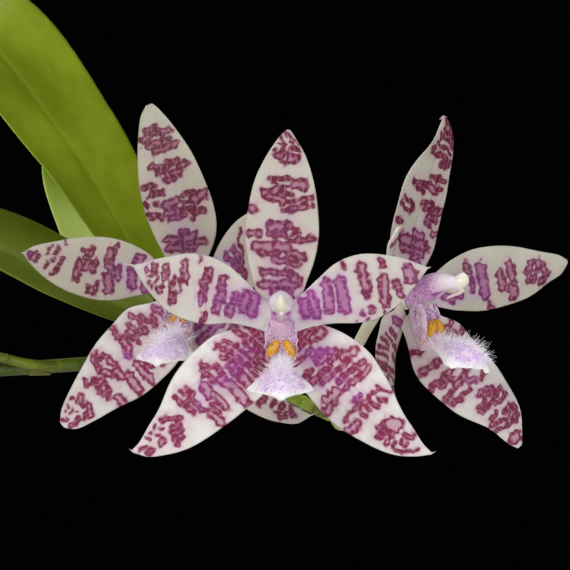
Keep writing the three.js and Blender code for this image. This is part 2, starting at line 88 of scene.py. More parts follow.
class Finish:
    # A material and the nodes that make it
    def __init__(self, name, **surface):
        self.material = bpy.data.materials.new(name)
        self.material.use_nodes = True
        self.tree = self.material.node_tree
        self.surface = self.tree.nodes["Principled BSDF"]
        self.set(**surface)

    def node(self, kind, settings={}, inputs={}, output=0):
        made = self.tree.nodes.new(kind)
        for key, value in settings.items():
            setattr(made, key, value)
        for key, value in inputs.items():
            self.feed(made.inputs[key], value)
        return Wire(self, made.outputs[output])

    def feed(self, socket, value):
        if isinstance(value, Wire):
            self.tree.links.new(value.socket, socket)
        else:
            socket.default_value = tint(value) if isinstance(value, str) else value

    def set(self, **surface):
        for key, value in surface.items():
            self.feed(self.surface.inputs[surfaceSockets[key]], value)

    def place(self):
        # The position in metres
        return self.node("ShaderNodeNewGeometry")

    def attribute(self, name):
        return self.node("ShaderNodeAttribute", {"attribute_name": name}, output="Fac")

    def noise(self, scale, detail, rough=0.5, vector=None):
        inputs = {"Vector": vector or self.place(), "Scale": scale, "Detail": detail, "Roughness": rough}
        return self.node("ShaderNodeTexNoise", {}, inputs)

    def cells(self, scale, output):
        return self.node("ShaderNodeTexVoronoi", {}, {"Vector": self.place(), "Scale": scale}, output)

    def stretched(self, x, y, z):
        return self.node("ShaderNodeMapping", {}, {"Vector": self.place(), "Scale": (x, y, z)})

    def step(self, value, low, high, fromValue=0.0, toValue=1.0):
        inputs = {"Value": value, 1: low, 2: high, 3: fromValue, 4: toValue}
        return self.node("ShaderNodeMapRange", {"interpolation_type": "SMOOTHSTEP"}, inputs)

    def mix(self, mask, first, second):
        return self.node("ShaderNodeMix", {"data_type": "RGBA"}, {0: mask, 6: first, 7: second}, 2)

    def paint(self, base, *coats):
        # Each coat is a mask and the colour that it lets over the ones before
        for mask, colour in coats:
            base = self.mix(mask, base, colour)
        return base

    def clouded(self, cloud, first, second, *coats):
        # Two colours that drift into each other, and the coats over them
        return self.paint(first, (self.step(cloud, 0.3, 0.7), second), *coats)

    def speckled(self, base, dots, scale, share, size, where=1.0):
        # Small round spots of another colour, on a share of the cells of a pattern
        near = self.step(self.cells(scale, "Distance"), size * 0.7, size, 1, 0)
        chosen = self.step(self.cells(scale, "Color"), share - 0.02, share + 0.02, 1, 0)
        return self.mix(near * chosen * where, base, dots)

    def bump(self, height, distance, strength):
        inputs = {"Height": height, "Distance": distance, "Strength": strength}
        return self.node("ShaderNodeBump", {}, inputs)


def unit(vectors):
    return vectors / np.linalg.norm(vectors, axis=-1, keepdims=True)


def curveAt(points, t):
    # A smooth curve through points: the places and the directions at fractions of it
    p = np.array(points, float)
    p = np.vstack([2 * p[0] - p[1], p, 2 * p[-1] - p[-2]])
    x = np.asarray(t, float) * (len(p) - 3)
    k = np.clip(np.floor(x).astype(int), 0, len(p) - 4)
    u = (x - k)[..., None]
    a, b, c, d = p[k], p[k + 1], p[k + 2], p[k + 3]
    bend, twist = a - 2.5 * b + 2 * c - d / 2, 1.5 * (b - c) + (d - a) / 2
    at = b + u * (c - a) / 2 + u**2 * bend + u**3 * twist
    return at, unit((c - a) / 2 + 2 * u * bend + 3 * u**2 * twist)


outlineFractions = np.array([0, 0.1, 0.25, 0.4, 0.55, 0.7, 0.85, 0.95, 1])


def profileAt(values, t):
    # A smooth run of numbers that are given at the outline fractions
    f, v = outlineFractions, np.array(values, float)
    k = np.clip(np.searchsorted(f, t, side="left") - 1, 0, len(f) - 2)
    span = f[k + 1] - f[k]
    u = np.clip((t - f[k]) / span, 0, 1)
    places = np.arange(len(f))
    low, high = np.maximum(places - 1, 0), np.minimum(places + 1, len(f) - 1)
    slope = (v[high] - v[low]) / (f[high] - f[low])
    return ((2 * u**3 - 3 * u**2 + 1) * v[k] + (u**3 - 2 * u**2 + u) * span * slope[k]
            + (3 * u**2 - 2 * u**3) * v[k + 1] + (u**3 - u**2) * span * slope[k + 1])


def ease(x):
    x = np.clip(x, 0, 1)
    return x * x * (3 - 2 * x)


def rippled(x, y, seed, wavelength):
    # A smooth random surface between about -1 and 1
    rng = np.random.default_rng(seed)
    waves, total = 6, 0
    for k in range(waves):
        angle, phase = rng.uniform(0, 2 * np.pi, 2)
        length = wavelength * rng.uniform(0.75, 1.35)
        total = total + np.sin(2 * np.pi * (x * np.cos(angle) + y * np.sin(angle)) / length + phase)
    return total / (0.4 * waves)


def newObject(name, points, faces, finish, marks={}, smooth=True):
    # points in mm; marks are numbers for each point that the finish reads
    mesh = bpy.data.meshes.new(name)
    mesh.from_pydata((np.asarray(points) * mm).tolist(), [], faces)
    for key, values in marks.items():
        mesh.attributes.new(key, "FLOAT", "POINT").data.foreach_set("value", np.ravel(values))
    mesh.polygons.foreach_set("use_smooth", [smooth] * len(mesh.polygons))
    mesh.materials.append(finish.material)
    made = bpy.data.objects.new(name, mesh)
    bpy.context.scene.collection.objects.link(made)
    return made


def meshPiece(name, points, faces, finish, hides=(), marks={}):
    piece = newObject(name, points, faces, finish, marks)
    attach(piece, "root")
    if hides:
        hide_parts(*hides)


def loftFaces(rings):
    # Faces of a closed skin over rings of points, with a middle point at each end
    n, m = rings.shape[:2]
    start = (np.arange(n - 1) * m)[:, None]
    j = np.arange(m)[None, :]
    k = (j + 1) % m
    faces = np.stack([start + j, start + k, start + m + k, start + m + j], -1).reshape(-1, 4).tolist()
    for i in range(m):
        j = (i + 1) % m
        faces += [[n * m, j, i], [n * m + 1, (n - 1) * m + i, (n - 1) * m + j]]
    return faces


def loftPoints(rings):
    return np.vstack([rings.reshape(-1, 3), rings[0].mean(0), rings[-1].mean(0)])


def joinedLofts(parts):
    # Several closed skins, each of rings and marks, as one set of points, faces and marks
    points, faces, marks, count = [], [], {}, 0
    for rings, own in parts:
        p = loftPoints(rings)
        points.append(p)
        faces += [[count + q for q in face] for face in loftFaces(rings)]
        for key, value in own.items():
            even = np.ones(rings.shape[:2]) * value
            marks.setdefault(key, []).append(np.r_[np.ravel(even), even[0].mean(), even[-1].mean()])
        count += len(p)
    return np.vstack(points), faces, {key: np.concatenate(v) for key, v in marks.items()}


def loftPiece(name, rings, finish, hides=(), marks={}):
    points, faces, marks = joinedLofts([(rings, marks)])
    meshPiece(name, points, faces, finish, hides, marks)


def frameAlong(along, first):
    # A side direction that turns as little as it can along a curve
    side, sides = np.array(first, float), []
    for direction in along:
        side = side - side.dot(direction) * direction
        side = side / np.linalg.norm(side)
        sides.append(side)
    return np.array(sides)


offAxis = (0.31, 0.9, 0.27)  # no tube starts out along this


def tubeRings(route, radiusAt, steps, sides):
    # radiusAt gives the radius for the fraction along and the angle round
    t = np.linspace(0, 1, steps + 1)
    at, along = curveAt(route, t)
    side = frameAlong(along, offAxis)
    other = np.cross(along, side)
    angle = np.linspace(0, 2 * np.pi, sides, endpoint=False)
    radius = radiusAt(t[:, None], angle[None, :]) * np.ones((steps + 1, sides))
    return (at[:, None] + side[:, None] * (radius * np.cos(angle))[..., None]
            + other[:, None] * (radius * np.sin(angle))[..., None])


# The open flowers: the middle in mm, the turn from -Y towards +X and the tilt in degrees, how much
# further the lip reaches ahead and down than the one below, and how large its two lumps are
flowers = {
    "b": {"centre": (149.1, -62, 124.2), "turn": 0, "tilt": 0, "ahead": 0, "down": 0, "lumps": 1},
    "a": {"centre": (125.6, -31, 130), "turn": -18, "tilt": 5, "ahead": 0.12, "down": 0.1, "lumps": 0.62},
    "c": {"centre": (181, -34, 127.5), "turn": 55, "tilt": 7, "ahead": 0.17, "down": 0.1, "lumps": 1},
}

# Their sepals and petals, in mm. Each has a spine from the flower's middle to its tip, and its half
# widths to the left and the right of that at the outline fractions. shade is painted shade: it darkens
# the colour of those that stand behind or turn away from the light, and hook is the way that the small
# beak at the tip points.
# A mark is a rounded line on the flattened blade: from across, along to across, along, then its
# radius, and its hue from 1 for violet over 0 for crimson to -1 for rose. root moves the marks up
# the blade, and hueShift makes them all more violet.
tepals = {
    "flower_b_sepal_dorsal": {
        "spine": [(0, 0.6, 2.6), (0.1, -0.4, 13.6), (0.4, -0.6, 23.8), (0.9, 0.2, 34.1), (1.7, 2, 44.5)],
        "left": (5.4, 6.3, 8, 8.8, 8.2, 7.1, 4.5, 2.2, 0.5),
        "right": (4.6, 5.5, 7.7, 8.6, 8.2, 7, 4.8, 2.1, 0.5),
        "shade": 0.52,
        "marks": [
            (-0.6, 41.3, -0.2, 40.6, 0.35), (0.2, 41.2, 1, 40.4, 0.35), (-1.8, 40.4, -1.5, 40, 0.3),
            (1.6, 39.9, 2, 39.6, 0.3), (-1.2, 39.6, -0.9, 39.2, 0.3), (0.5, 39.3, 1.2, 39, 0.4),
            (2.4, 39, 2.7, 38.8, 0.35), (-2.2, 38.7, -1.6, 38.4, 0.35), (-0.9, 38.8, -0.3, 38.6, 0.4),
            (-2.8, 37.2, -2.5, 37, 0.4), (0.8, 37.9, 2.9, 37.4, 0.5), (-0.7, 37.6, -0.4, 36.8, 0.5),
            (-2.4, 35.6, -0.8, 36.4, 0.9), (-0.3, 34.6, 2.2, 35.1, 1), (0.5, 36.3, 2.2, 35.9, 0.7),
            (-3.2, 30.2, 0.8, 30.4, 0.65), (-2.9, 29.4, -1.8, 28.9, 0.5), (-4.9, 26.7, -1, 27.6, 1),
            (-4.5, 26.4, -0.2, 25, 1.1), (2.3, 29.2, 4.5, 29, 1.35), (-0.3, 28.6, 1, 28.8, 0.45),
            (-0.6, 27.2, 1.6, 26.6, 0.6), (1.2, 24.9, 3, 25, 0.6), (1.2, 22.9, 5.5, 24.2, 0.95),
            (5, 26, 6.6, 26, 0.75), (3.8, 25.4, 4.2, 25.9, 0.4), (6.8, 24.4, 6.9, 24.1, 0.6),
            (0, 22.7, 1.5, 22.6, 0.6, 0.6), (-7.6, 23.2, -6.9, 22.8, 1.1), (-3, 18.9, 1.2, 19.2, 1.2, 0.4),
            (-2.8, 17.2, 0.8, 17, 0.9, 0.4), (2, 18.8, 3.8, 18.7, 0.7), (2.4, 17.3, 4.4, 17.5, 0.5),
            (2.4, 15.8, 6, 16, 0.8), (6.6, 16.6, 7.2, 16.1, 0.9), (-7.6, 17.2, -5.6, 17.2, 1),
            (-6.2, 14.2, 1.2, 14.2, 1.3, 0.2), (-4.6, 12.7, -1, 12.6, 0.9), (-1.8, 11.4, 1.4, 10.8, 1.1, 0.7),
            (2, 12.8, 5, 11.9, 1.1), (1.7, 10.4, 3.7, 10.2, 1), (-4.4, 8.4, -0.8, 8.2, 1, 0.3),
            (-0.6, 8.2, 2, 8, 1, 0.6), (2.2, 7.4, 3.9, 6.4, 1.1), (-4.8, 5.4, -1.5, 5.2, 1.2, 0.2),
            (-1.5, 5.4, 3.6, 5.3, 1.2, 0.6), (-2, 3.6, 1.8, 3.9, 1, 1), (2.6, 2.3, 2.9, 2.1, 0.4, 0.4),
        ],
    },
    "flower_b_petal_left": {
        "spine": [(-1.4, -0.2, 0.7), (-10.5, -1.8, 3.8), (-18.5, -2, 6.6), (-26.7, -0.6, 9.1), (-34.9, 2.4, 12.3)],
        "left": (4.5, 4.5, 5.3, 7.4, 7.9, 7, 4.2, 1.7, 0.3),
        "right": (2.3, 2.9, 5.6, 7.6, 8, 7, 4.1, 1.5, 0.3),
        "shade": 0.42, "root": 1.25, "hook": (-1.9, 0.8, 0.3),
        "marks": [
            (-1.3, 4.4, 2.2, 4.6, 1.3, 1), (-0.8, 6.6, 2.5, 6.8, 1.25, 0.9), (3.1, 6.4, 3.3, 5.8, 0.5, 0.2),
            (-3, 9.3, -0.2, 9.3, 1.1, 0.5), (0, 9, 1.4, 9, 1, 1), (-3.4, 12.4, -0.6, 12.5, 1.1, 0.5),
            (-0.5, 12.2, 1.5, 12.6, 1.2, 1), (2, 13.1, 4.2, 13.1, 1.1, 0.1), (-2.8, 16.4, 0, 16.8, 1, 0.6),
            (0.6, 16.9, 1.6, 17.2, 1.2, 0.4), (2, 16.8, 4.8, 16.9, 1.05), (-6.9, 14.6, -5, 14.6, 0.7),
            (6.6, 19.4, 7.1, 19.5, 0.45), (1.2, 21.6, 4.9, 22.9, 1), (-4.7, 23.2, -3.6, 23, 0.9),
            (-2.6, 24, -2, 22.3, 0.6), (-1.5, 24.2, 1.4, 24.2, 0.5), (-0.4, 22.6, 0.8, 23, 0.6),
            (0, 26.4, 2.8, 27.1, 1), (-3.9, 26.6, -3.4, 26.4, 0.5), (-2.2, 26.7, -1.9, 26.2, 0.5),
            (-3.2, 27.3, -2.6, 27.4, 0.4), (-1.8, 28.3, -0.4, 28, 0.45), (-3, 28.7, -2.6, 28.6, 0.35),
            (-2.7, 29.7, -2, 29.8, 0.35), (0.6, 29.4, 2, 30, 0.95), (-0.8, 30.3, -0.4, 29.8, 0.4),
            (0, 31.2, 0.7, 31.8, 0.6, 0.9),
        ],
    },
    "flower_b_petal_right": {
        "spine": [(1.4, -0.2, 0.7), (10.4, -1.8, 3.9), (18.3, -2, 6.7), (26.4, -0.6, 9.1), (34.6, 2.4, 11.8)],
        "left": (2.5, 3.2, 5.6, 7.6, 8, 6.8, 4.4, 1.7, 0.3),
        "right": (4.5, 4.5, 5.5, 7.2, 7.9, 6.6, 3.7, 1.5, 0.3),
        "shade": 0.37, "root": 1.25, "hook": (0.7, 0.4, 0.2),
        "marks": [
            (-0.6, 29.7, 0.9, 29.8, 1.7, 0.3), (-2.4, 29.3, -1.8, 29.5, 0.5, 0.3), (2.2, 30.8, 1.6, 30.4, 0.5, 0.3),
            (0.2, 31.7, 0.2, 31.2, 0.4, 0.3), (1.6, 28, 1.2, 28.4, 0.5, 0.3), (1, 25.8, 4.2, 26.1, 0.95),
            (-5.2, 23.8, -4.1, 23.9, 0.9), (-0.8, 23.1, 4.6, 22, 1.25), (6.8, 21.4, 7.2, 21.3, 0.35),
            (-5, 18.8, 0.3, 18.5, 1.25), (1.2, 18, 2, 18.1, 0.8, 0.5), (5.2, 18.3, 5.7, 18.3, 0.85, 0.2),
            (5.4, 15.7, 5.9, 15.9, 0.6, 0.6), (7.2, 16.8, 7.3, 16.2, 0.4, 0.6), (6.8, 13.7, 6.9, 13.7, 0.25),
            (-7, 15.1, -5.9, 15.1, 0.45), (-3.2, 13.1, 3.2, 12.4, 1.5, 0.8), (-3.8, 9.9, 1.9, 8.9, 1.35, 0.7),
            (-2.6, 5.8, 2.2, 5.6, 1.2, 0.8), (-1.8, 3.6, 1.2, 3.2, 1.2, 1), (-4, 1.4, -3.5, 1.3, 0.4, 0.3),
        ],
    },
    "flower_b_sepal_left": {
        "spine": [(-1.3, 0.8, -1.8), (-8.9, 0.6, -10.2), (-17.4, 0.6, -17.7), (-25.5, 2, -25.8), (-35.3, 5, -31.8)],
        "left": (3.9, 5, 8.6, 8.9, 8.5, 7, 4.8, 2.9, 0.6),
        "right": (4.2, 5.4, 9, 9.5, 8.6, 6.4, 3.8, 1.1, 0.4),
        "shade": 0, "hook": (-0.7, 0.8, 0.6),
        "marks": [
            (-2.1, 43, -1.9, 41.6, 0.8), (-0.3, 44.3, -0.6, 42.6, 0.5), (-1.9, 39.2, -1, 38, 0.9),
            (0.4, 41, 1.1, 41.3, 0.35), (1.6, 40, 1.7, 39.8, 0.45), (0.3, 38.4, 0.6, 38.9, 0.4),
            (2.3, 38.3, 2.6, 38.2, 0.6), (1, 36.6, 1.3, 37.2, 0.45), (-0.9, 44.9, -0.8, 44.9, 0.2),
            (-3.8, 35.8, -1, 35.2, 0.75), (-3.3, 34.4, 0, 34.2, 0.8), (-1.6, 33, 0.5, 32.7, 0.8),
            (0.3, 31.3, 2.2, 33.6, 0.8), (2.6, 34, 3, 36, 0.6), (-0.8, 28.4, 1.6, 28, 0.85),
            (2.2, 28.7, 4.4, 28.7, 0.85), (-1.9, 26.4, 1, 26.2, 0.9, 0.55), (1.8, 26.8, 2.4, 25.6, 0.8),
            (3.9, 27, 5, 26.6, 0.6), (2.9, 25.2, 4, 25.4, 0.6), (-7.4, 25.6, -4, 25.4, 1.25),
            (-5.6, 24.2, -2.8, 24.1, 0.8), (-5.2, 21.6, -1.4, 21.7, 1.2), (-0.8, 22.4, 1.8, 22, 1.4, 0.6),
            (-7.4, 17.2, -3.3, 17.1, 1.3), (-2.4, 17.2, 0.4, 18.4, 1.2, 0.8), (0.8, 19.6, 4.6, 20.2, 0.8),
            (1.4, 17, 3.6, 17.2, 0.8, 0.2), (4.2, 18.6, 6.2, 19.2, 0.8, -0.5), (-4.6, 13.8, -2.4, 14, 1.3),
            (-2, 15, 1.6, 15, 0.7, 0.75), (-1.6, 13.4, 1.2, 13.2, 0.7, 0.75), (2.2, 13.6, 4, 14.2, 0.8),
            (4.8, 12.8, 7, 13.6, 0.9, -0.5), (-4.6, 11.2, -1, 11.2, 0.7), (-0.6, 11.7, 1.6, 11.6, 0.6, 0.85),
            (2.2, 12, 4, 11.8, 0.6), (-4.4, 9.9, -1, 9.6, 0.6), (0, 9.8, 3, 10, 0.7, 0.7),
            (3.6, 10, 6.6, 11.2, 0.8, -0.5), (-4.4, 8.4, -1.2, 8.2, 0.65), (-0.8, 8, 2, 8.2, 0.7, 0.6),
            (3, 8, 3.6, 6.8, 0.7), (4.8, 7, 6.2, 7, 0.9, -0.4), (-3, 6.6, 0, 6.4, 0.7), (0.6, 6.4, 2.4, 6, 0.6),
            (-1.6, 4.6, 5, 4.4, 0.7), (0, 3, 2.6, 2.6, 0.6),
        ],
    },
    "flower_b_sepal_right": {
        "spine": [(1.3, 1.6, -1.8), (9.9, 1.2, -9.3), (17.7, 0.8, -17.7), (25.9, 2, -25.8), (35.5, 5, -32.3)],
        "left": (3.9, 5, 7.6, 8.8, 7.7, 5.4, 3, 0.9, 0.4),
        "right": (5.4, 6.5, 8.4, 9, 8.8, 7, 4.9, 2.4, 0.5),
        "shade": 0, "hook": (1, 1, 0.5),
        "marks": [
            (-1.1, 40.4, -0.2, 38.4, 0.8), (0.6, 43.2, 1.2, 42.9, 0.5), (2, 42.4, 2.6, 41.2, 0.5),
            (0.8, 40, 2, 40, 0.6), (3.4, 40.6, 3.6, 39, 0.5, -0.3), (1.2, 38.4, 1.8, 38.8, 0.5),
            (2.6, 37.6, 3.4, 37.8, 0.5), (-1.1, 35.2, -0.3, 33.8, 1.9), (1, 36, 3.8, 36, 0.8),
            (1, 34.6, 3.6, 34.2, 0.5), (1.2, 33.4, 3.8, 33.6, 0.6), (1, 32.4, 2.6, 32.2, 0.5),
            (-6, 28.6, -4.4, 25, 0.5), (-4, 29.2, -2.8, 27.8, 0.6), (-1.6, 29, -0.8, 27, 0.7),
            (-4.6, 26, -1.2, 25.6, 0.6), (-0.8, 26, 2, 25.6, 0.9), (0.4, 28, 0.6, 27, 0.6),
            (2, 28.6, 2.6, 27.2, 0.7), (2.4, 25.2, 6.4, 25.8, 0.6), (4.8, 28.4, 7.6, 28.2, 1.2),
            (-0.4, 24, 1.6, 23.8, 0.8, 0.8), (-6.2, 20.6, -3, 20.8, 1, -0.7), (-6.2, 18.6, -2.6, 18.2, 0.8, -0.5),
            (-2.4, 20.4, 0.8, 20.4, 0.9, 0.4), (-2, 18, 1.4, 18.2, 0.8, 0.5), (3.2, 19.8, 6.2, 19.6, 1.4),
            (5.2, 21, 8.2, 21.4, 1), (-6.4, 15.2, -3.4, 14.8, 1.1, -0.8), (-3.6, 16, 0, 16, 0.7, -0.2),
            (0.6, 16, 4.6, 15.8, 0.85, 0.6), (-3.6, 13.4, 0, 13.2, 0.8, 0.2), (0.4, 14.2, 3.2, 14, 0.7, 0.1),
            (3.6, 14, 6.2, 14, 1), (-2.4, 11.8, 2, 11.6, 1, 0.6), (-0.6, 10, 1.6, 10, 0.8, 0.9),
            (4.6, 11.4, 6, 11.6, 0.9), (-4.4, 7.2, -1.6, 6.6, 1.2, -0.4), (-3.8, 4.6, -0.6, 4.2, 1, -0.1),
            (0.6, 8.2, 2.4, 8, 0.9, 0.9), (3, 8, 5.4, 7.4, 0.8), (0, 5.8, 3.6, 5.4, 0.8), (-1.6, 2.4, 1.4, 3.4, 0.7),
            (0.4, 4, 2.8, 4, 0.6),
        ],
    },
    "flower_a_sepal_dorsal": {
        "spine": [(-0.3, 0.6, 2.6), (-0.8, 0.6, 14.3), (-3.5, 1, 25.5), (-6.7, 2, 36.6), (-9.3, 4, 47.9)],
        "left": (3.9, 5, 7.5, 8.9, 8.8, 7.3, 5.5, 3.7, 1.8),
        "right": (4.2, 5.4, 8.6, 9.3, 8.6, 7.1, 4.4, 1.9, 0.2),
        "shade": 0.7,
        "marks": [
            (-3.2, 40, -0.3, 40.6, 0.9), (-4.6, 38, -2.8, 38.6, 1.1), (-1.6, 39, 0.4, 38.6, 0.6),
            (0.2, 38.8, 3, 38.6, 1), (-3.2, 36.4, 0, 36, 1), (0.6, 36.9, 3, 36.6, 0.7), (-2, 34.4, 4, 34.8, 1.1),
            (-3.6, 30.9, -1, 30.2, 1.1), (-2.6, 29, 0.4, 29.8, 0.9), (0.6, 30.8, 3.4, 30, 0.9), (3, 29, 5.2, 29, 1),
            (-0.4, 28, 3, 27.4, 1), (-1.2, 26.6, 1.2, 26.4, 0.9, 0.4), (-7.4, 26.6, -5.4, 26.4, 0.9),
            (-4.6, 26.6, -4.4, 26.5, 0.6), (-5.8, 24.4, -3, 24, 0.9), (-8.2, 22.4, -8, 21.8, 0.7),
            (-5.8, 21.8, -5.2, 21.6, 0.7), (-7, 23.6, -6.9, 23.4, 0.4), (-7.8, 19.4, -6.2, 18.6, 1),
            (-5.4, 18.4, -5, 17.6, 0.8), (-3, 20.6, 0, 20.8, 1.2, 0.4), (-3.4, 18.6, -0.4, 18.2, 1.2, 0.5),
            (-2.6, 16.8, 1.2, 17, 1, 0.5), (2.2, 21.8, 5, 22, 0.7), (4.6, 20.2, 8.2, 20.6, 1.2),
            (1.6, 20, 5.4, 18.8, 0.7), (1, 18.4, 4.4, 17.8, 0.6), (3.6, 16.8, 6.4, 16.8, 0.8),
            (2.6, 15.6, 3.4, 15.4, 0.7), (-0.8, 12.8, 0.6, 12.8, 1, 0.9), (-4.6, 11.4, -1.6, 11.2, 1.2, 0.3),
            (-4.4, 9, -1, 8.8, 1.1, 0.3), (-0.4, 11, 2.6, 11.6, 1.2, 0.7), (-0.4, 9, 2.4, 8.8, 1, 0.7),
            (3, 10, 5.4, 10, 1), (0, 6, 2, 5, 1.6, 0.9),
        ],
    },
    "flower_a_petal_left": {
        "spine": [(-2.6, 0.4, 0.9), (-12.1, 2, 4.3), (-22.2, 4, 5.9), (-32.1, 5, 8.1), (-42.2, 7, 10.2)],
        "left": (2, 2.6, 5.2, 7.2, 7.9, 7.2, 5, 2.4, 0.4),
        "right": (2.2, 2.8, 6.2, 8.1, 8.1, 6.4, 4, 2.1, 0.3),
        "shade": 0.7, "hook": (-0.6, 0.3, 0),
        "marks": [
            (-0.6, 39.6, 0.5, 39.4, 0.8, 0.6), (-1.2, 37.8, 0, 37.4, 0.7, 0.3), (1, 38, 1.2, 37.6, 0.5),
            (-2.8, 35.2, -1.8, 34.6, 0.5), (-1.3, 34.6, -1.1, 34.5, 0.5), (0.8, 35.2, 1.3, 34.8, 0.5),
            (2.3, 35.2, 2.6, 34.8, 0.4), (3.2, 34.2, 3.3, 34.2, 0.35), (-3.7, 33.4, -3.6, 32.6, 0.5),
            (-3, 32, -1.2, 31.6, 0.6), (-0.4, 33.4, 0.2, 33, 0.45), (-0.6, 31.2, 0.6, 30.8, 0.7),
            (1.4, 32.8, 3, 32.4, 0.7), (-3.6, 26.4, 0.6, 26.4, 1.1), (-0.6, 25, 1, 24, 1), (2.4, 25.2, 4, 25.6, 0.9),
            (3, 24, 4.6, 23.9, 0.9), (-0.8, 22.6, 2, 22.6, 0.9, 0.4), (-6.4, 23, -4.6, 22.9, 0.6),
            (-6.2, 21.5, -4, 21.2, 0.8, 0.3), (4.3, 30.7, 4.4, 30.7, 0.25), (5.2, 31, 5.3, 31, 0.25),
            (-4.6, 18, -1, 18.6, 1.4, 0.3), (-1.4, 16, 1, 16.2, 1.1, 0.8), (0, 18.4, 2, 18.4, 1.2, 0.5),
            (3, 19, 5, 18.6, 1.4), (5.4, 17.6, 6.4, 17.4, 1), (-2.8, 11.8, 1, 12.6, 1.4, 0.8),
            (1.6, 12, 4.4, 11.2, 1.2, 0.4), (-2.5, 8, 2.5, 8, 1.5, 0.9), (-1.5, 4.5, 2, 4.5, 1.3, 1),
        ],
    },
    "flower_a_petal_right": {
        "spine": [(2.1, -1.4, 1.5), (7.6, -4, 4.7), (12.5, -6, 9.6), (16.9, -8, 14.8), (20.7, -9, 20.5)],
        "left": (1.7, 2.2, 3.6, 4.9, 5.8, 5.9, 4.6, 2.2, 0.3),
        "right": (3.6, 5, 7.6, 8.8, 8.3, 6.5, 4.2, 1.9, 0.3),
        "shade": 0.6,
        "marks": [
            (-3.4, 19.6, -2.4, 17.6, 0.5), (-2.4, 17.2, 0.5, 15.8, 0.5), (0.5, 15.8, 3, 14, 0.35),
            (-1.6, 14.6, 1.4, 13.6, 0.9, 0.8), (1.6, 13.4, 5.6, 11.6, 0.8, 0.3), (-2, 12.2, -0.6, 11.6, 0.9, 1),
            (0, 12, 3, 11.4, 0.8, 0.8), (-2, 8.5, 3, 9, 1.3, 0.8), (-1.5, 5, 2.5, 5, 1.2, 1), (1, 21, 4, 20, 1),
            (-1, 24, 2, 23.6, 0.9),
        ],
    },
    "flower_a_sepal_left": {
        "spine": [(-1.4, 1.2, -2.4), (-8.6, 3, -10.6), (-16.2, 5, -18.5), (-24.2, 8, -26.4), (-32.9, 11, -33.8)],
        "left": (4.2, 5.4, 8.8, 9.2, 8.4, 6.1, 4.6, 3.3, 1.2),
        "right": (4.4, 5.6, 9.8, 10.2, 9.9, 8, 5.7, 3.3, 1),
        "shade": 0.08,
        "marks": [
            (-2, 43.8, -1.8, 41, 0.8, 0.1), (-0.2, 44.4, 0.8, 44.6, 0.5), (0.2, 43.6, 0.3, 43.5, 0.4),
            (1.9, 42.9, 2, 42.9, 0.35), (0.8, 41.8, 1, 41, 0.5), (2.4, 41.6, 2.8, 41.2, 0.4),
            (-2.6, 39.6, -2.2, 39, 0.6), (-0.4, 40, -0.3, 40, 0.4), (2, 39, 2.2, 38.6, 0.5),
            (3.7, 39.4, 3.4, 38.8, 0.45), (-3, 37.8, -1, 36.9, 1.1), (0.8, 37.4, 2.4, 37, 1),
            (3.4, 33.6, 4.6, 33.2, 0.8), (-2.8, 30.8, -1, 31, 0.8, -0.5), (-1, 32, 1.4, 31.6, 0.9, -0.3),
            (1, 30.6, 3.2, 32.6, 0.7), (-1.8, 29.8, 1.4, 29.2, 0.7, -0.2), (2, 29, 3.6, 31.6, 0.6),
            (-6.4, 29.4, -4.6, 29.2, 1.3), (-1.4, 25, 1, 24.4, 1.2), (1, 26.6, 4, 28, 1.1),
            (4.4, 28.2, 8, 27.6, 0.9, -0.3), (2, 24, 6, 24.8, 1), (6, 26.6, 7.8, 26.2, 0.7, -0.6),
            (-7.2, 23.8, -2.4, 23.2, 1.3), (-7.6, 19.6, -2, 19.6, 1.2), (-5, 17, -1.4, 18, 0.8),
            (0.6, 19.6, 1.8, 20, 0.9, 0.8), (2.4, 18.4, 4.6, 18, 1.3, 0.2), (5, 17.2, 7, 18.8, 0.9, -0.4),
            (8, 18.4, 9.2, 18, 1, -0.4), (1.8, 15.4, 5.4, 15.8, 0.8, -0.2), (2.8, 13.6, 7, 14.2, 0.8, -0.4),
            (2, 12, 4, 12, 0.8), (5, 11, 8, 12, 0.9, -0.4), (3, 9.8, 6.4, 10.4, 0.8, -0.3), (1.6, 9, 3.6, 8, 0.9),
            (0.6, 5.6, 4.8, 6, 1, 0.4), (-6.5, 15, -3, 15, 1), (-6.5, 11.5, -2, 12, 1), (-5.5, 8, -1, 8.5, 1, 0.4),
            (-3, 5, -1, 5, 0.8),
        ],
    },
    "flower_a_sepal_right": {
        "spine": [(1.2, 0.6, -2.4), (6.8, -2.5, -10.6), (14.1, -6, -18.2), (22, -9.5, -25.1), (30.8, -12, -29.9)],
        "left": (3.7, 4.8, 8.2, 8.6, 7, 3.5, -0.3, -1.3, 0.2),
        "right": (3.7, 4.8, 8.2, 8.6, 8.6, 7.2, 5.3, 3.4, 0.3),
        "shade": 0.35, "hook": (1.2, 0, 0.9),
        "marks": [
            (0.8, 37.6, 2, 38.6, 0.8), (2.2, 39.6, 2.8, 39, 0.4), (3.2, 37.8, 4.2, 36, 0.6),
            (1, 35.4, 2.4, 35.6, 0.8), (1.2, 33.4, 2.8, 33.2, 0.6), (3.6, 35, 3.7, 34.9, 0.5),
            (2.4, 37, 2.5, 37, 0.5), (2, 30.8, 4.6, 30.6, 0.9), (-5, 26, -1, 26.5, 1.1), (0, 26, 5, 26, 1.1),
            (-6, 22, 0, 22.5, 1.2, 0.2), (1.5, 22, 6, 21.5, 1.1), (-5.5, 17.5, 5, 17.5, 1.3, 0.3),
            (-5, 13, 4, 13, 1.3, 0.5), (-4, 9, 4, 9, 1.2, 0.7), (-2.5, 5.5, 3, 5.5, 1.2, 0.9),
        ],
    },
    "flower_c_sepal_dorsal": {
        "spine": [(0, 0.6, 2.6), (0.7, 2, 14.3), (3.6, 4, 25.5), (7.1, 6, 36.5), (9.6, 8, 47.2)],
        "left": (3.9, 5, 8.6, 9.3, 8.7, 6.4, 2.7, 1.1, 0.6),
        "right": (3.7, 4.8, 7.6, 8.2, 7.8, 6.1, 5.7, 3.6, 0.8),
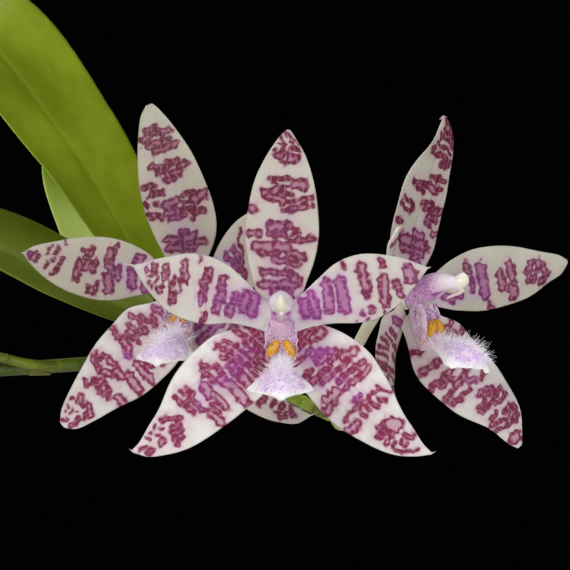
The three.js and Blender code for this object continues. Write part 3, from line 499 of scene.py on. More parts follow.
        "shade": 0.55, "facing": (0.72, -0.69, 0), "hook": (-1.4, -0.6, -1.3),
        "marks": [
            (0.4, 46, 0.9, 44.6, 0.6), (1.8, 45.6, 2.6, 44, 0.5), (0.6, 43.4, 1.6, 42.6, 0.6),
            (3.2, 44.2, 4.4, 42.6, 0.4), (2, 43.6, 2.4, 41.8, 0.4), (-0.4, 42, 0.2, 40.6, 0.5),
            (4.4, 41.6, 5.2, 39.6, 0.4), (2.4, 43, 4, 42, 0.6), (0.6, 41.8, 1.4, 41, 0.6),
            (2.4, 41.2, 4.6, 40.4, 0.6), (-0.8, 39.2, 1.8, 38.6, 0.7), (1.8, 39.2, 4.8, 38, 0.6),
            (-2.6, 37, -1.4, 37.6, 0.7), (-2.4, 36.2, 0.6, 36.4, 0.7), (1, 37, 4.8, 36, 0.8), (2, 35, 4.6, 35, 0.7),
            (2, 34.2, 3.6, 34.2, 0.7), (0, 30.2, 3, 31, 0.8), (3.4, 31, 4.8, 31, 0.9), (-5.4, 27, -1, 28, 0.8),
            (-3.8, 26, -0.8, 26, 0.7), (0, 28, 3, 27.6, 1.2), (4, 29, 4.8, 28.6, 0.7), (0, 23, 3.6, 24, 1),
            (1, 22, 4, 22.4, 0.8), (6, 23, 7.2, 23.6, 1.1), (3.2, 20.6, 6.4, 21, 1), (2.6, 19, 4.4, 18.8, 0.8, 0.7),
            (-7.2, 22.2, -3.4, 21.6, 0.6), (-8, 20.2, -4.2, 19.2, 0.6), (-3.2, 21.2, -3.6, 19.9, 0.5),
            (-7.6, 21.6, -7.9, 20.8, 0.4), (-8, 16.2, -6, 16.4, 0.8), (6, 17, 7.6, 17.2, 1.1),
            (0, 15, 2.6, 15, 1.4, 0.5), (-4.4, 12.6, -0.6, 12.8, 1.5, 0.1), (-4, 10.8, 0, 10.6, 1.2, 0.3),
            (0.4, 12.8, 4, 12.6, 1.4, 0.5), (1, 10.6, 4, 10.6, 1.3, 0.6), (4.6, 13.6, 5.4, 12.4, 1.1),
            (0, 8, 3, 8, 1, 0.7), (-1, 5, 2, 5, 1, 0.9),
        ],
    },
    "flower_c_petal_left": {
        "spine": [(-1.3, -2.2, 1.6), (-3.6, -7, 5.7), (-5.3, -12, 9.6), (-5.1, -15.5, 13.6), (-3.8, -18, 18.2)],
        "left": (2.1, 2.7, 5.3, 7, 7, 5.4, 3.4, 1.9, 0.7),
        "right": (2.1, 2.7, 5.3, 7, 7, 5.4, 3.4, 1.9, 0.7),
        "shade": 0.15, "facing": (0.9, -0.42, 0.1), "hook": (0.8, -0.5, 0.2),
        "marks": [
            (-3, 10, 3, 10.5, 1.2, 0.4), (-2.5, 6.5, 2, 7, 1.2, 0.7), (-1.5, 3.6, 1.5, 3.6, 1, 1),
            (-4, 14, 1, 14.5, 1), (2, 17.5, 5, 17, 0.9), (-2, 20, 1, 20.5, 0.8),
        ],
    },
    "flower_c_petal_right": {
        "spine": [(1.8, 1.6, 1.1), (11.6, 5, 3.5), (21.6, 9, 6), (31.9, 13, 7.9), (41.8, 16, 10.6)],
        "left": (3.1, 4, 7.3, 8.5, 8.2, 6.8, 4.3, 2.3, 0.5),
        "right": (2.3, 3, 5.7, 7.5, 7.7, 6.8, 4.3, 2.9, 0.6),
        "shade": 0.62, "hueShift": 0.28,
        "marks": [
            (-2.4, 35, -1, 35.4, 1.1), (-0.6, 36.6, 1.8, 37, 1.1), (2.4, 36.4, 3.4, 35.4, 1),
            (-2.2, 33.2, -0.6, 32.4, 1.1), (0.4, 32.2, 2, 32, 1), (1.6, 34, 2.4, 33.4, 0.9),
            (0.1, 34.6, 0.3, 34.6, 0.9, 0.5), (-3.2, 27, 0.6, 27.4, 1.3), (3.2, 27.4, 5, 27.6, 1.5),
            (-1.2, 24, 2.6, 24.4, 1.3), (-3.8, 18.8, 3.6, 19.2, 1.5, 0.4), (6.4, 20.4, 7.2, 20.6, 0.9),
            (-5.2, 15, -3.6, 15.2, 1.1), (-1.6, 16, 1.6, 15.8, 0.8, 0.8), (1, 8, 2.4, 9.6, 1.2, 0.6),
            (3.6, 4.6, 3.9, 4.6, 0.6), (-2, 11, 2, 12, 1.2, 0.9),
        ],
    },
    "flower_c_sepal_left": {
        "spine": [(-1.3, -0.6, -2.2), (-4.6, -4, -8.6), (-5.8, -9, -16.3), (-4.7, -13, -23.7), (-3.7, -16, -31.1)],
        "left": (3.7, 4.7, 8, 8.4, 7.8, 6.1, 3.8, 1.7, 0.3),
        "right": (3.7, 4.7, 8, 8.4, 7.8, 6.1, 3.8, 1.7, 0.3),
        "shade": 0.5, "facing": (0.94, -0.34, 0),
        "marks": [
            (0.5, 14.5, 7.8, 16.5, 0.5), (1, 12.4, 7.4, 15, 0.5), (1.4, 11, 6.6, 12.4, 0.6), (0, 9, 5, 10, 0.5),
            (-7, 17, 1, 19, 0.6), (-7, 14, 0, 17, 0.6), (-2, 6.6, 3, 7.4, 0.7, 0.3), (-1, 3, 3, 4.4, 1, 0.5),
            (3.6, 27, 5, 28.4, 0.5), (0.4, 24, 6, 25.4, 0.4), (-3.4, 29, 1, 29.6, 0.6), (-6, 11, -2, 12, 0.9),
            (-5, 23, -1, 22, 0.9), (1.4, 20.4, 7.6, 22, 0.6), (2, 18.2, 7.8, 19.8, 0.6), (1, 22.6, 7, 24.2, 0.5),
            (-6.6, 20.4, -2.4, 20.6, 0.6), (-4.6, 25.6, -1, 26.4, 0.6), (0.4, 16.6, 7.4, 18.4, 0.5),
            (2.4, 25.6, 6, 26.4, 0.4), (-5.4, 8.4, -1.6, 9, 0.8),
        ],
    },
    "flower_c_sepal_right": {
        "spine": [(0.9, 1.5, -2.1), (7.4, 4, -10.9), (14.8, 7, -19.3), (22.6, 10, -27.3), (29.2, 13, -36.8)],
        "left": (4.4, 5.6, 9.2, 9.6, 9.5, 8.4, 6.4, 3.2, 1),
        "right": (4.7, 6, 9.2, 9.5, 8.6, 6.5, 3.8, 2.2, 0.9),
        "shade": 0.2, "facing": (0.5, -0.86, 0.1),
        "marks": [
            (-0.6, 43.8, 0.5, 43.6, 1.6), (-4.6, 40, -2.6, 40.2, 0.7), (-5, 38, -2, 38.6, 1), (-2, 40, 1, 39.4, 0.6),
            (-5, 36.8, -1.6, 36.4, 0.8), (-1, 38.6, 1.6, 37, 0.6), (2, 39, 3.8, 38.6, 0.7),
            (2.4, 37, 3.8, 36.6, 0.8), (0.6, 35, 3, 35.4, 0.8), (-5.4, 33.8, -1, 33.6, 0.7),
            (-5.4, 32, -3, 31.6, 0.8), (-2.6, 32, 1, 32.2, 0.7), (1, 32, 3.4, 31.8, 0.8, -0.2),
            (-3.6, 30.6, 0, 29.6, 0.9), (0.6, 30.4, 3.8, 30.6, 0.8, -0.3), (-2, 28.8, 0.8, 28.2, 0.9, 0.5),
            (1.4, 25.2, 4, 24.6, 0.7), (4, 25, 7.6, 24, 0.8), (-1.6, 25, 0, 23.4, 1, 0.5), (5.6, 22, 8, 22, 0.9),
            (0, 22, 3.6, 21.6, 1.1), (2.6, 19.4, 6.6, 19, 0.8), (4, 18, 8.4, 17.2, 0.9), (1, 18, 4.6, 17.6, 0.9),
            (0.4, 14.6, 4, 13.8, 1), (3, 14, 8.2, 12.8, 1), (4.6, 9, 7.6, 7.6, 0.8), (-8.6, 13.6, -6.6, 14, 1),
            (-7.4, 9.8, -3.6, 10, 1), (-6.4, 12, -4.6, 12, 0.8), (-2.6, 9.6, 1, 9.4, 0.8, 0.3),
            (-6.1, 4, -6, 4, 0.6), (-6.5, 22, -2, 21, 1), (-7, 18, -2, 18, 1), (-5, 26, -3, 26, 0.8),
        ],
    },
}

# How a tepal is built, in mm: its grid, thickness, cup, wavy margin, groove and hook, the width of the
# marks' outline, the lobes and bends that make it uneven, and how far their hue and haze reach.
# swell and spread make a mark larger than its line, and clear is the distance to the marks on a hook.
tepalBuild = {
    "grid": (132, 54), "thickness": 0.8, "cups": {"dorsal": 0.06, "petal": -0.05, "sepal": -0.08},
    "marginWave": 0.3, "midGroove": 0.16, "grooveWidth": 0.8, "hookSteps": 9, "hookNarrows": 0.8,
    "outline": 0.8, "lobeLength": 1.9, "lobeReach": 0.26, "calmPart": 0.4, "calmLength": 18,
    "unevenLength": 6, "bendLength": 3, "bendReach": 0.22, "hueReach": 0.6, "hazeReach": 0.65,
    "hazeFade": 0.55, "hazeStrength": 1.4, "swell": 1.06, "spread": 0.04, "clear": 3.0,
    "petalBaseShade": 0.3, "firstSeed": 11, "seedStep": 7,
}


def bladeRings(spec, lift=None):
    # Rings round a thin blade along its spine, and for each point its place on the flattened blade
    stations, columns = spec["grid"]
    t = np.linspace(0, 1, stations + 1)
    at, along = curveAt(spec["spine"], t)
    if "across" in spec:
        turned = ease(t / spec["turnedBy"])[:, None]
        side = np.array(spec["acrossBase"]) * (1 - turned) + np.array(spec["across"]) * turned
        side = unit(side - (side * along).sum(1, keepdims=True) * along)
    else:
        side = unit(np.cross(along, spec["facing"]))
    out = np.cross(side, along)
    arc = np.r_[0, np.cumsum(np.linalg.norm(np.diff(at, axis=0), axis=1))][:, None]
    left, right = profileAt(spec["left"], t)[:, None], profileAt(spec["right"], t)[:, None]
    front = np.linspace(-1, 1, columns + 1)
    v = np.r_[front, front[-2:0:-1]][None, :]
    face = np.r_[np.ones(columns + 1), -np.ones(columns - 1)][None, :]
    half = (left + right) / 2
    across = np.where(v < 0, left, right) * v
    thick = np.minimum(spec["thickness"], half) / 2
    rise = spec["cup"] * half * v**2 + face * thick * np.sqrt(1 - v**2)
    if lift:
        rise = rise + lift(v, t[:, None], across, arc)
    rings = at[:, None] + side[:, None] * across[..., None] + out[:, None] * rise[..., None]
    even = np.ones_like(across)
    fields = {"v": v * even, "face": face * even, "fraction": t[:, None] * even,
              "acrossMm": across, "alongMm": arc * even}
    return rings, fields


def markFields(marks, across, along, seed):
    # Distances in mm to the dark outlines and to the whole marks, and the hue and the haze near them
    build = tepalBuild
    band, bend, span = build["outline"], build["bendReach"], build["bendLength"]
    x = across + bend * rippled(across, along, seed, span)
    y = along + bend * rippled(across, along, seed + 1, span)
    calm = build["calmPart"] + (1 - build["calmPart"]) * np.clip(along / build["calmLength"], 0, 1)
    uneven = 0.85 + 0.35 * rippled(across, along, seed + 4, build["unevenLength"])
    lobes = build["lobeReach"] * rippled(across, along, seed + 2, build["lobeLength"]) * calm * uneven
    inside, whole = np.full_like(x, 9.0), np.full_like(x, 9.0)
    hue, weight, haze = np.zeros_like(x), np.full_like(x, 1e-6), np.zeros_like(x)
    for x1, y1, x2, y2, radius, *tone in marks:
        dx, dy = x2 - x1, y2 - y1
        part = np.clip(((x - x1) * dx + (y - y1) * dy) / (dx * dx + dy * dy + 1e-9), 0, 1)
        size = radius * build["swell"] + build["spread"] + lobes * min(1, radius)
        gap = np.hypot(x - x1 - part * dx, y - y1 - part * dy) - size
        inside = np.minimum(inside, np.abs(gap + band / 2) - band / 2)
        whole = np.minimum(whole, gap)
        near = np.exp(-np.clip(gap, 0, 6) / build["hueReach"])
        hue += near * (tone[0] if tone else 0)
        weight += near
        haze += np.exp(-np.clip(gap, 0, 9) / build["hazeReach"])
    outline = np.minimum(np.abs(whole + band / 2) - band / 2, inside + 0.1)
    return {"outline": outline, "mark": whole, "hue": hue / weight,
            "haze": 1 - np.exp(-build["hazeStrength"] * haze)}


def tepalFinish():
    f = Finish("tepal", subsurface=0.1, scatter=0.0005, scatterRadius=(1, 0.7, 0.6), coat=0.03,
               coatRoughness=0.3, specular=0.22)
    outline, mark, hue = f.attribute("outline"), f.attribute("mark"), f.attribute("hue")
    shade, v, face = f.attribute("shade"), f.attribute("v"), f.attribute("face")
    grain = f.noise(2600, 3, 0.6) - 0.5
    patches, beads, fibres = f.noise(330, 2), f.noise(850, 2), f.noise(1500, 2)
    violet, rose = f.step(hue, 0, 0.95), f.step(hue, -0.05, -0.9)
    # shade is painted shade: it dulls the cream towards grey-green, thins the haze and the pale centres, and darkens
    # the marks
    blush = f.attribute("haze") * (0.82 + violet * 0.18) * (1 - shade * 0.55)
    cream = f.paint("f9f7f3", (shade, "a19e7c"), (f.step(patches, 0.35, 0.7, 0, 0.1), "a9a695"),
                    (blush, f.mix(violet, "c784a4", "c684c8")))
    centres = f.step(mark, -0.7, -1.15, 0, 0.75) * (1 - violet * 0.6) * (1 - shade * 0.5)
    inner = f.paint("bb5c8c", (violet, "ba62b2"), (rose, "c98a9c"), (centres, "d8b6c6"), (shade * 0.8, "84485c"))
    dark = f.paint("800842", (violet, "a03896"), (rose, "99405f"), (f.step(beads, 0.5, 0.72, 0, 0.4), inner),
                   (f.step(fibres, 0.3, 0.75, 0, 0.25), "8a1f4e"),
                   (f.step(patches, 0.42, 0.66, 0, 0.6), f.mix(violet, "9c1254", "b0409e")),
                   (shade * 0.92, "430f18"))
    # The marks are broken up along the veins
    veins = (v * 25 + patches * 16).sine()
    gaps = f.step(veins + beads * 1.6, 1.1, 2, 0, 0.5)
    dark = f.paint(dark, (gaps, f.mix(0.3 - shade * 0.3, inner, "c795ae")))
    ink = f.step(mark + grain * 0.3, 0.34, -0.28) * (1 - gaps * 0.2)
    strength = f.step(face, -0.6, 0.6, 0.38, 0.97)
    body = f.mix(f.step(outline + grain * 0.4, 0.38, -0.26), inner, dark)
    f.set(colour=f.mix(ink * strength, cream, body), roughness=f.step(fibres, 0.3, 0.7, 0.4, 0.52),
          normal=f.bump(grain * 0.5 + veins * 0.08 + ink * 0.35, 0.00018, 0.5))
    return f


def hooked(rings, marks, hook):
    # Adds the small pointed beak that a blade ends in
    build, last, middle = tepalBuild, rings[-1], rings[-1].mean(0)
    tipWay, length = unit(middle - rings[-6].mean(0)), np.linalg.norm(hook)
    extra = []
    for k in range(1, build["hookSteps"] + 1):
        h = k / build["hookSteps"]
        move = tipWay * length * (h - h * h / 2) * 0.6 + np.array(hook) * h * h
        extra.append(middle + (last - middle) * (1 - build["hookNarrows"] * h) + move)
    for key, value in marks.items():
        tail = np.repeat(value[-1:], len(extra), 0)
        tail = np.full_like(tail, build["clear"]) if key in ("outline", "mark") else tail
        marks[key] = np.concatenate([value, tail])
    return np.concatenate([rings, extra]), marks


def tepalParts(name, flower, spec, seed):
    rng, build = np.random.default_rng(seed), tepalBuild
    phase, beats = rng.uniform(0, 6.28), rng.uniform(2.2, 3.4)

    def lift(v, t, across, along):
        wave = build["marginWave"] * np.sin(6.28 * beats * t + phase + v) * np.abs(v) ** 3
        groove = -build["midGroove"] * np.exp(-(across / build["grooveWidth"]) ** 2)
        return (wave + groove) * ease(t * 5) * ease((1 - t) * 5)

    turn = math.radians(flower["turn"])
    whole = {"facing": (math.sin(turn), -math.cos(turn), 0), **build, **spec,
             "spine": np.array(spec["spine"]) + np.array(flower["centre"]),
             "cup": next(cup for kind, cup in build["cups"].items() if kind in name)}
    rings, fields = bladeRings(whole, lift)
    t = fields["fraction"]
    marks = markFields(spec["marks"], fields["acrossMm"], fields["alongMm"] - spec.get("root", 0), seed)
    marks["haze"] *= 1 - build["hazeFade"] * t
    marks["hue"] += spec.get("hueShift", 0)
    # The painted shade is lighter near the base of the petals
    baseShade = build["petalBaseShade"] if "petal" in name else 1
    shade = spec["shade"] * (baseShade + (1 - baseShade) * ease(t * 3))
    marks.update(v=fields["v"], face=fields["face"], shade=shade)
    return hooked(rings, marks, spec["hook"]) if "hook" in spec else (rings, marks)


tepalLook = tepalFinish()
for k, (name, spec) in enumerate(tepals.items()):
    flower = flowers[name.split("_")[1]]
    rings, marks = tepalParts(name, flower, spec, tepalBuild["firstSeed"] + tepalBuild["seedStep"] * k)
    loftPiece(f"{name}_blade", rings, tepalLook, [name], marks)
print("tepals done")


def placedPiece(flower, name, parts, finish, hides):
    # Puts lofted parts from a flower's own axes (right, forward, up) into the plant's
    turn, tilt = math.radians(flower["turn"]), math.radians(flower["tilt"])
    right = np.array((math.cos(turn), math.sin(turn), 0))
    level = np.array((math.sin(turn), -math.cos(turn), 0))
    forward = level * math.cos(tilt) + np.array((0, 0, math.sin(tilt)))
    points, faces, marks = joinedLofts(parts)
    points = points @ np.array([right, forward, np.cross(forward, right)]) + np.array(flower["centre"])
    meshPiece(name, points, [face[::-1] for face in faces], finish, hides, marks)


# The lip in a flower's own axes, in mm: the middle lobe with its tuft of hairs, two upright side
# lobes with the wall between them, and two orange lumps
lip = {
    "spine": [(0, 3.2, -10.4), (0, 8, -10.4), (0, 13.2, -11.4), (0, 17.2, -14.2), (0, 18.6, -18.4)],
    "facing": (0, 0.6, 0.8), "grid": (70, 44), "cup": 0, "thickness": 0.7, "frill": 0.3, "frillLength": 2.2,
    "reachesFrom": 8,
    "left": (2.6, 3, 3.4, 5.6, 7.9, 7.4, 6.6, 1.7, 0.3),
    "right": (2.6, 3, 3.3, 5.5, 7.6, 7.3, 6.6, 1.8, 0.3),
    "droop": (1.8, 2.2, 2.5, 3.8, 4.8, 4.5, 3, 0.4, 0.2),
    "wall": {
        "spine": [(0, 1.9, -0.2), (0, 1.5, -3), (0, 1.6, -6), (0, 2.2, -9), (0, 3.4, -11)],
        "half": (2.6, 2.8, 2.9, 3, 3.1, 3.2, 3.1, 2.9, 2.6), "facing": (0, 1, 0.1), "grid": (30, 22),
        "cup": 0.45, "thickness": 2.8,
    },
    "side": {
        "spine": [(3, 4.3, -9.6), (3.2, 4.3, -7), (3.2, 4.4, -5), (3.2, 4.6, -3), (3, 4.8, -0.7)],
        "half": (1.2, 1.8, 2.2, 2.35, 2.3, 2, 1.5, 0.9, 0.4), "facing": (-1, 0.4, 0.1), "grid": (26, 18),
        "cup": 0.2, "thickness": 0.5, "curl": 0.14, "curlLength": 2,
    },
    "callus": {
        "centre": (1.85, 6.9, -6.9), "radii": (1.3, 1.25, 2.05), "grid": (18, 22), "lean": 0.672,
        "lumps": 0.08, "lumpLength": 2.5,
    },
    "hairs": {
        "count": 520, "grid": (4, 3), "length": (1.5, 3), "radius": 0.085, "thins": 0.82, "bend": 0.28,
        "from": 0.07, "to": 0.86, "crowding": (1.5, 1.25), "spread": 0.95, "widest": 2.2, "stray": 0.13,
        "marginCount": 14, "marginFrom": 0.16, "marginTo": 0.36, "marginAt": 0.9, "marginStray": 0.15,
        "rootTint": 0.6,
    },
    "firstSeed": 50,
}


def lipFinish():
    f = Finish("lip", roughness=0.55, subsurface=0.2, scatter=0.0006, scatterRadius=(1, 0.8, 0.9), specular=0.3)
    middle = f.attribute("middle")
    base = f.paint("fcf9fc", (f.step(f.noise(600, 3, 0.6), 0.32, 0.62, 0.3, 1) * middle, "e1c4ec"),
                   (f.attribute("claw") * 0.7, "efc9dc"))
    base = f.speckled(base, "bb8ad4", 1700, 0.45, 0.4, middle)
    # The lip glows faintly in its own colour: painted light that brightens it beyond what the lamps give
    f.set(colour=base, glow=base, glowStrength=0.1, normal=f.bump(f.noise(2400, 3, 0.6), 0.0002, 0.5))
    return f


def sideLobeFinish():
    f = Finish("lip side lobes", roughness=0.5, subsurface=0.2, scatter=0.0006, scatterRadius=(1, 0.7, 0.8))
    stigma, inner = f.attribute("stigma"), f.step(f.attribute("inner"), -0.3, 0.3, 0.1, 1)
    base = f.clouded(f.noise(500, 2), "f1e2ee", "e7c9e2")
    base = f.speckled(base, "9950ae", 2300, 0.7, 0.5, (1 - stigma) * inner)
    base = f.paint(base, (stigma * 0.9, "d9b2cb"), (f.attribute("low") * 0.6, "e6ad94"),
                   (f.attribute("rim") * 0.4, "f6ebf3"))
    f.set(colour=base, normal=f.bump(f.noise(2200, 2), 0.00015, 0.5))
    return f


def callusFinish():
    f = Finish("lip callus", roughness=0.35, subsurface=0.25, scatter=0.001, scatterRadius=(1, 0.6, 0.2), coat=0.2)
    cloud = f.noise(800, 3, 0.6)
    base = f.paint("de9a14", (f.step(cloud, 0.35, 0.65), "edb430"))
    f.set(colour=f.speckled(base, "7e2f30", 1300, 0.22, 0.4), normal=f.bump(cloud, 0.0003, 0.6))
    return f


def hairFinish():
    f = Finish("lip hairs", roughness=0.5, subsurface=0.2, scatter=0.0006, scatterRadius=(1, 0.9, 1))
    base = f.mix(f.attribute("root"), "fdfbfe", "ecd6f4")
    # The hairs glow faintly in their own colour: painted light that lifts the shade among the dense hairs
    f.set(colour=base, glow=base, glowStrength=0.16)
    return f


def columnFinish():
    f = Finish("column", roughness=0.42, subsurface=0.25, scatter=0.0008, scatterRadius=(1, 0.6, 0.8), coat=0.08)
    cloud = f.noise(420, 3, 0.55)
    base = f.clouded(cloud, "efcfea", "dba6da", (f.attribute("pale") * 0.95, "f6e8f3"))
    base = f.speckled(base, "bf68b4", 1900, 0.7, 0.46, f.attribute("back"))
    base = f.paint(base, (f.step(f.attribute("blotch") + cloud * 0.3, 0.5, 0.75), "b05cb4"))
    f.set(colour=base, normal=f.bump(f.noise(2400, 2), 0.00015, 0.5))
    return f


def capFinish():
    f = Finish("anther cap", roughness=0.38, subsurface=0.3, scatter=0.001, scatterRadius=(1, 0.9, 0.6), coat=0.15)
    cloud = f.noise(600, 2)
    base = f.clouded(cloud, "fffaec", "faf1d8", (f.attribute("tipBlush") * 0.55, "d9a3d2"))
    f.set(colour=base, normal=f.bump(cloud, 0.00012, 0.4))
    return f


def blob(centre, radii, steps, sides, shape=None):
    # A closed rounded body; shape may bend its points
    t = np.linspace(0.04, np.pi - 0.04, steps)[:, None]
    a = np.linspace(0, 2 * np.pi, sides, endpoint=False)[None, :]
    p = np.stack([np.sin(t) * np.cos(a), np.sin(t) * np.sin(a), -np.cos(t) * np.ones_like(a)], -1)
    return (shape(p) if shape else p) * np.array(radii) + np.array(centre)


def lipDroop(v, t):
    return -profileAt(lip["droop"], t) * np.abs(v) ** 1.6


def midLobe(spine, seed):
    def lift(v, t, across, along):
        frill = lip["frill"] * rippled(across, along, seed, lip["frillLength"]) * ease((t - 0.4) * 4) * v**2
        return lipDroop(v, t) + frill

    rings, fields = bladeRings({**lip, "spine": spine}, lift)
    t, v = fields["fraction"], fields["v"]
    middle = ease((t - 0.2) * 4) * ease((0.95 - t) * 8) * ease((0.86 - np.abs(v)) * 5)
    return [(rings, {"middle": middle * (fields["face"] > 0), "claw": ease((0.34 - t) * 6)})]


def sideLobes(seed):
    wall, side = lip["wall"], lip["side"]
    rings, fields = bladeRings({**wall, "left": wall["half"], "right": wall["half"]})
    t, v = fields["fraction"], fields["v"]
    stigma = ease((0.42 - t) * 6) * ease((0.8 - np.abs(v)) * 4)
    parts = [(rings, {"stigma": stigma, "rim": 0, "inner": fields["face"], "low": ease((t - 0.82) * 6)})]

    def curl(v, t, across, along):
        return side["curl"] * rippled(across, along, seed + 3, side["curlLength"])

    for sign in (1, -1):
        mirror = np.array((sign, 1, 1))
        lobe = {"spine": np.array(side["spine"]) * mirror, "facing": np.array(side["facing"]) * mirror,
                "left": side["half"], "right": side["half"]}
        rings, fields = bladeRings({**side, **lobe}, curl)
        rim = ease((np.abs(fields["v"]) - 0.75) * 5)
        low = ease((0.3 - fields["fraction"]) * 5) * (0.5 + 0.5 * rim)
        parts.append((rings, {"stigma": 0, "rim": rim, "inner": fields["face"], "low": low}))
    return parts


def calli(size, seed):
    callus, parts = lip["callus"], []
    x, y, z = callus["centre"]
    for sign in (1, -1):
        def lumpy(p, sign=sign):
            lumps = 1 + callus["lumps"] * rippled(p[..., 0] * 3, p[..., 2] * 3, seed + 5, callus["lumpLength"])
            leaning = p[..., 0] - sign * callus["lean"] * p[..., 2]
            return np.stack([leaning, p[..., 1], p[..., 2]], -1) * lumps[..., None]

        radii = [r * size for r in callus["radii"]]
        parts.append((blob((sign * x * size, y, z), radii, *callus["grid"], lumpy), {}))
    return parts


def lipHairs(spine, seed):
    # The tuft stands on the crest of the middle lobe and fans forward; a few hairs stand at the sides
    rng, hairs, parts = np.random.default_rng(seed), lip["hairs"], []
    first, last, widest, edge = hairs["from"], hairs["to"], hairs["widest"], hairs["marginAt"]
    at, along = curveAt(spine, np.linspace(0, 1, 101))
    for k in range(hairs["count"] + hairs["marginCount"]):
        margin = k >= hairs["count"]
        if margin:
            t = rng.uniform(hairs["marginFrom"], hairs["marginTo"])
        else:
            t = rng.beta(*hairs["crowding"]) * (last - first) + first
        half = float(profileAt(lip["right"], np.array([t]))[0])
        x = half * rng.choice((-edge, edge)) if margin else np.clip(rng.normal(0, hairs["spread"]), -widest, widest)
        ahead = along[int(t * 100)]
        out = unit(np.cross((1, 0, 0), ahead))
        fall = float(lipDroop(np.array([x / half]), np.array([t]))[0])
        root = at[int(t * 100)] + np.array((x, 0, 0)) + out * (fall + 0.1)
        if margin:
            way = unit(np.array((np.sign(x), 0.1, 0.7)) + rng.normal(0, hairs["marginStray"], 3))
        else:
            way = out * rng.uniform(0.6, 1) + ahead * rng.uniform(0.1, 0.9) * min(1, t * 2.2)
            way = unit(way + np.array((x * 0.5, 0, 0)) + rng.normal(0, hairs["stray"], 3))
        # Those near the tip are short, those at the back long
        length = rng.uniform(*hairs["length"]) * (0.75 if t > 0.75 else 1 + 0.9 * max(0, 0.4 - t))
        bend = rng.normal(0, hairs["bend"], 3) * length
        route = [root + way * length * h + bend * h * h for h in (0, 0.33, 0.66, 1)]
        rings = tubeRings(route, lambda t, angle: hairs["radius"] * (1 - hairs["thins"] * t), *hairs["grid"])
        parts.append((rings, {"root": np.linspace(hairs["rootTint"], 0, len(rings))[:, None]}))
    return parts


# The column in a flower's own axes: its middle line, its half width and its reach up and down, the
# hollow of the stigma below and the keel on its back, and the cap at its end with the beak below it
column = {
    "spine": [(0, 0.1, 0.6), (0, 4, 2.2), (0, 8, 3.5), (0, 12.2, 3.4), (0, 15.4, 3)],
    "wide": (2.5, 2.5, 2.6, 2.8, 3, 2.95, 2.6, 2.1, 1.5),
    "up": (2.7, 2.9, 3.3, 3.3, 3, 2.5, 1.9, 1.5, 1.1),
    "down": (2.5, 2.6, 2.9, 3.4, 3.2, 2.6, 2.1, 1.8, 1.3),
    "hollow": 1.1, "hollowAt": 0.7, "hollowLength": 0.14, "hollowWidth": 0.55, "keel": 0.28,
    "blotchX": 1.75, "blotchZ": 1.1, "blotchSize": 0.7, "blotchFrom": 8,
    "grid": (44, 40),
    "cap": {"centre": (0, 14.5, 3.35), "radii": (1.95, 3.3, 2.25), "grid": (26, 30), "lean": 0.5},
    "beak": {
        "spine": [(0, 16, 1.5), (0, 15, 0.9), (0, 13.4, 0.5), (0, 12, 0.2), (0, 11, -0.2)],
        "radius": 0.6, "thins": 0.6, "grid": (14, 12), "tint": 0.35,
    },
}


def columnShaft():
    stations, sides = column["grid"]
    t = np.linspace(0, 1, stations + 1)
    at, along = curveAt(column["spine"], t)
    up = np.cross((1, 0, 0), along)
    angle = np.linspace(0, 2 * np.pi, sides, endpoint=False)[None, :]
    wide, high, low = (profileAt(column[k], t)[:, None] for k in ("wide", "up", "down"))
    t = t[:, None]
    rise = np.where(np.sin(angle) > 0, high, low) * np.sin(angle)
    below = np.exp(-((angle - 1.5 * np.pi) / column["hollowWidth"]) ** 2)
    hollow = column["hollow"] * below * np.exp(-((t - column["hollowAt"]) / column["hollowLength"]) ** 2)
    keel = 1 - column["keel"] * np.clip(np.sin(angle), 0, 1) ** 2
    rings = (at[:, None] + np.array((1.0, 0, 0)) * (wide * keel * np.cos(angle))[..., None]
             + up[:, None] * (rise + hollow)[..., None])[:, ::-1]
    x, y, z = np.moveaxis(rings, -1, 0)
    size = column["blotchSize"]
    blotch = np.exp(-((np.abs(x) - column["blotchX"]) / size) ** 2 - ((z - column["blotchZ"]) / size) ** 2)
    return [(rings, {"pale": ease((t - 0.45) * 4), "back": (1 - 0.8 * below[:, ::-1]) * ease((0.72 - t) * 5),
                     "blotch": blotch * (y > column["blotchFrom"])})]


def capAndBeak():
    cap, beak = column["cap"], column["beak"]

    def capShape(p):
        x, y, z = p[..., 0], p[..., 1], p[..., 2]
        crown = 1 - 0.5 * np.clip((z + 0.35) / 1.35, 0, 1) ** 1.3
        ridge = 1 + 0.08 * np.exp(-(x / 0.2) ** 2) * (y > 0)
        return np.stack([x * crown, y * crown * ridge + cap["lean"] * z, z], -1)

    def beakRadius(t, angle):
        return beak["radius"] * (1 - beak["thins"] * t)

    return [(blob(cap["centre"], cap["radii"], *cap["grid"], capShape), {"tipBlush": 0}),
            (tubeRings(beak["spine"], beakRadius, *beak["grid"]), {"tipBlush": beak["tint"]})]


lipLook, sideLobeLook, callusLook, hairLook = lipFinish(), sideLobeFinish(), callusFinish(), hairFinish()
columnLook, capLook = columnFinish(), capFinish()
for k, (letter, flower) in enumerate(flowers.items()):
    seed, whole = lip["firstSeed"] + k, f"flower_{letter}"
    ahead, down, start = flower["ahead"], flower["down"], lip["reachesFrom"]
    spine = [(x, y + max(0, y - start) * ahead, z - max(0, y - start) * down) for x, y, z in lip["spine"]]
    for name, parts, look in (
        ("midlobe", midLobe(spine, seed), lipLook), ("side_lobes", sideLobes(seed), sideLobeLook),
        ("callus", calli(flower["lumps"], seed), callusLook), ("hairs", lipHairs(spine, seed), hairLook),
    ):
        placedPiece(flower, f"{whole}_lip_{name}", parts, look, [f"{whole}_lip"])
    placedPiece(flower, f"{whole}_column_shaft", columnShaft(), columnLook, [f"{whole}_column"])
    placedPiece(flower, f"{whole}_cap_and_beak", capAndBeak(), capLook, [f"{whole}_anther_cap"])
print("lips and columns done")


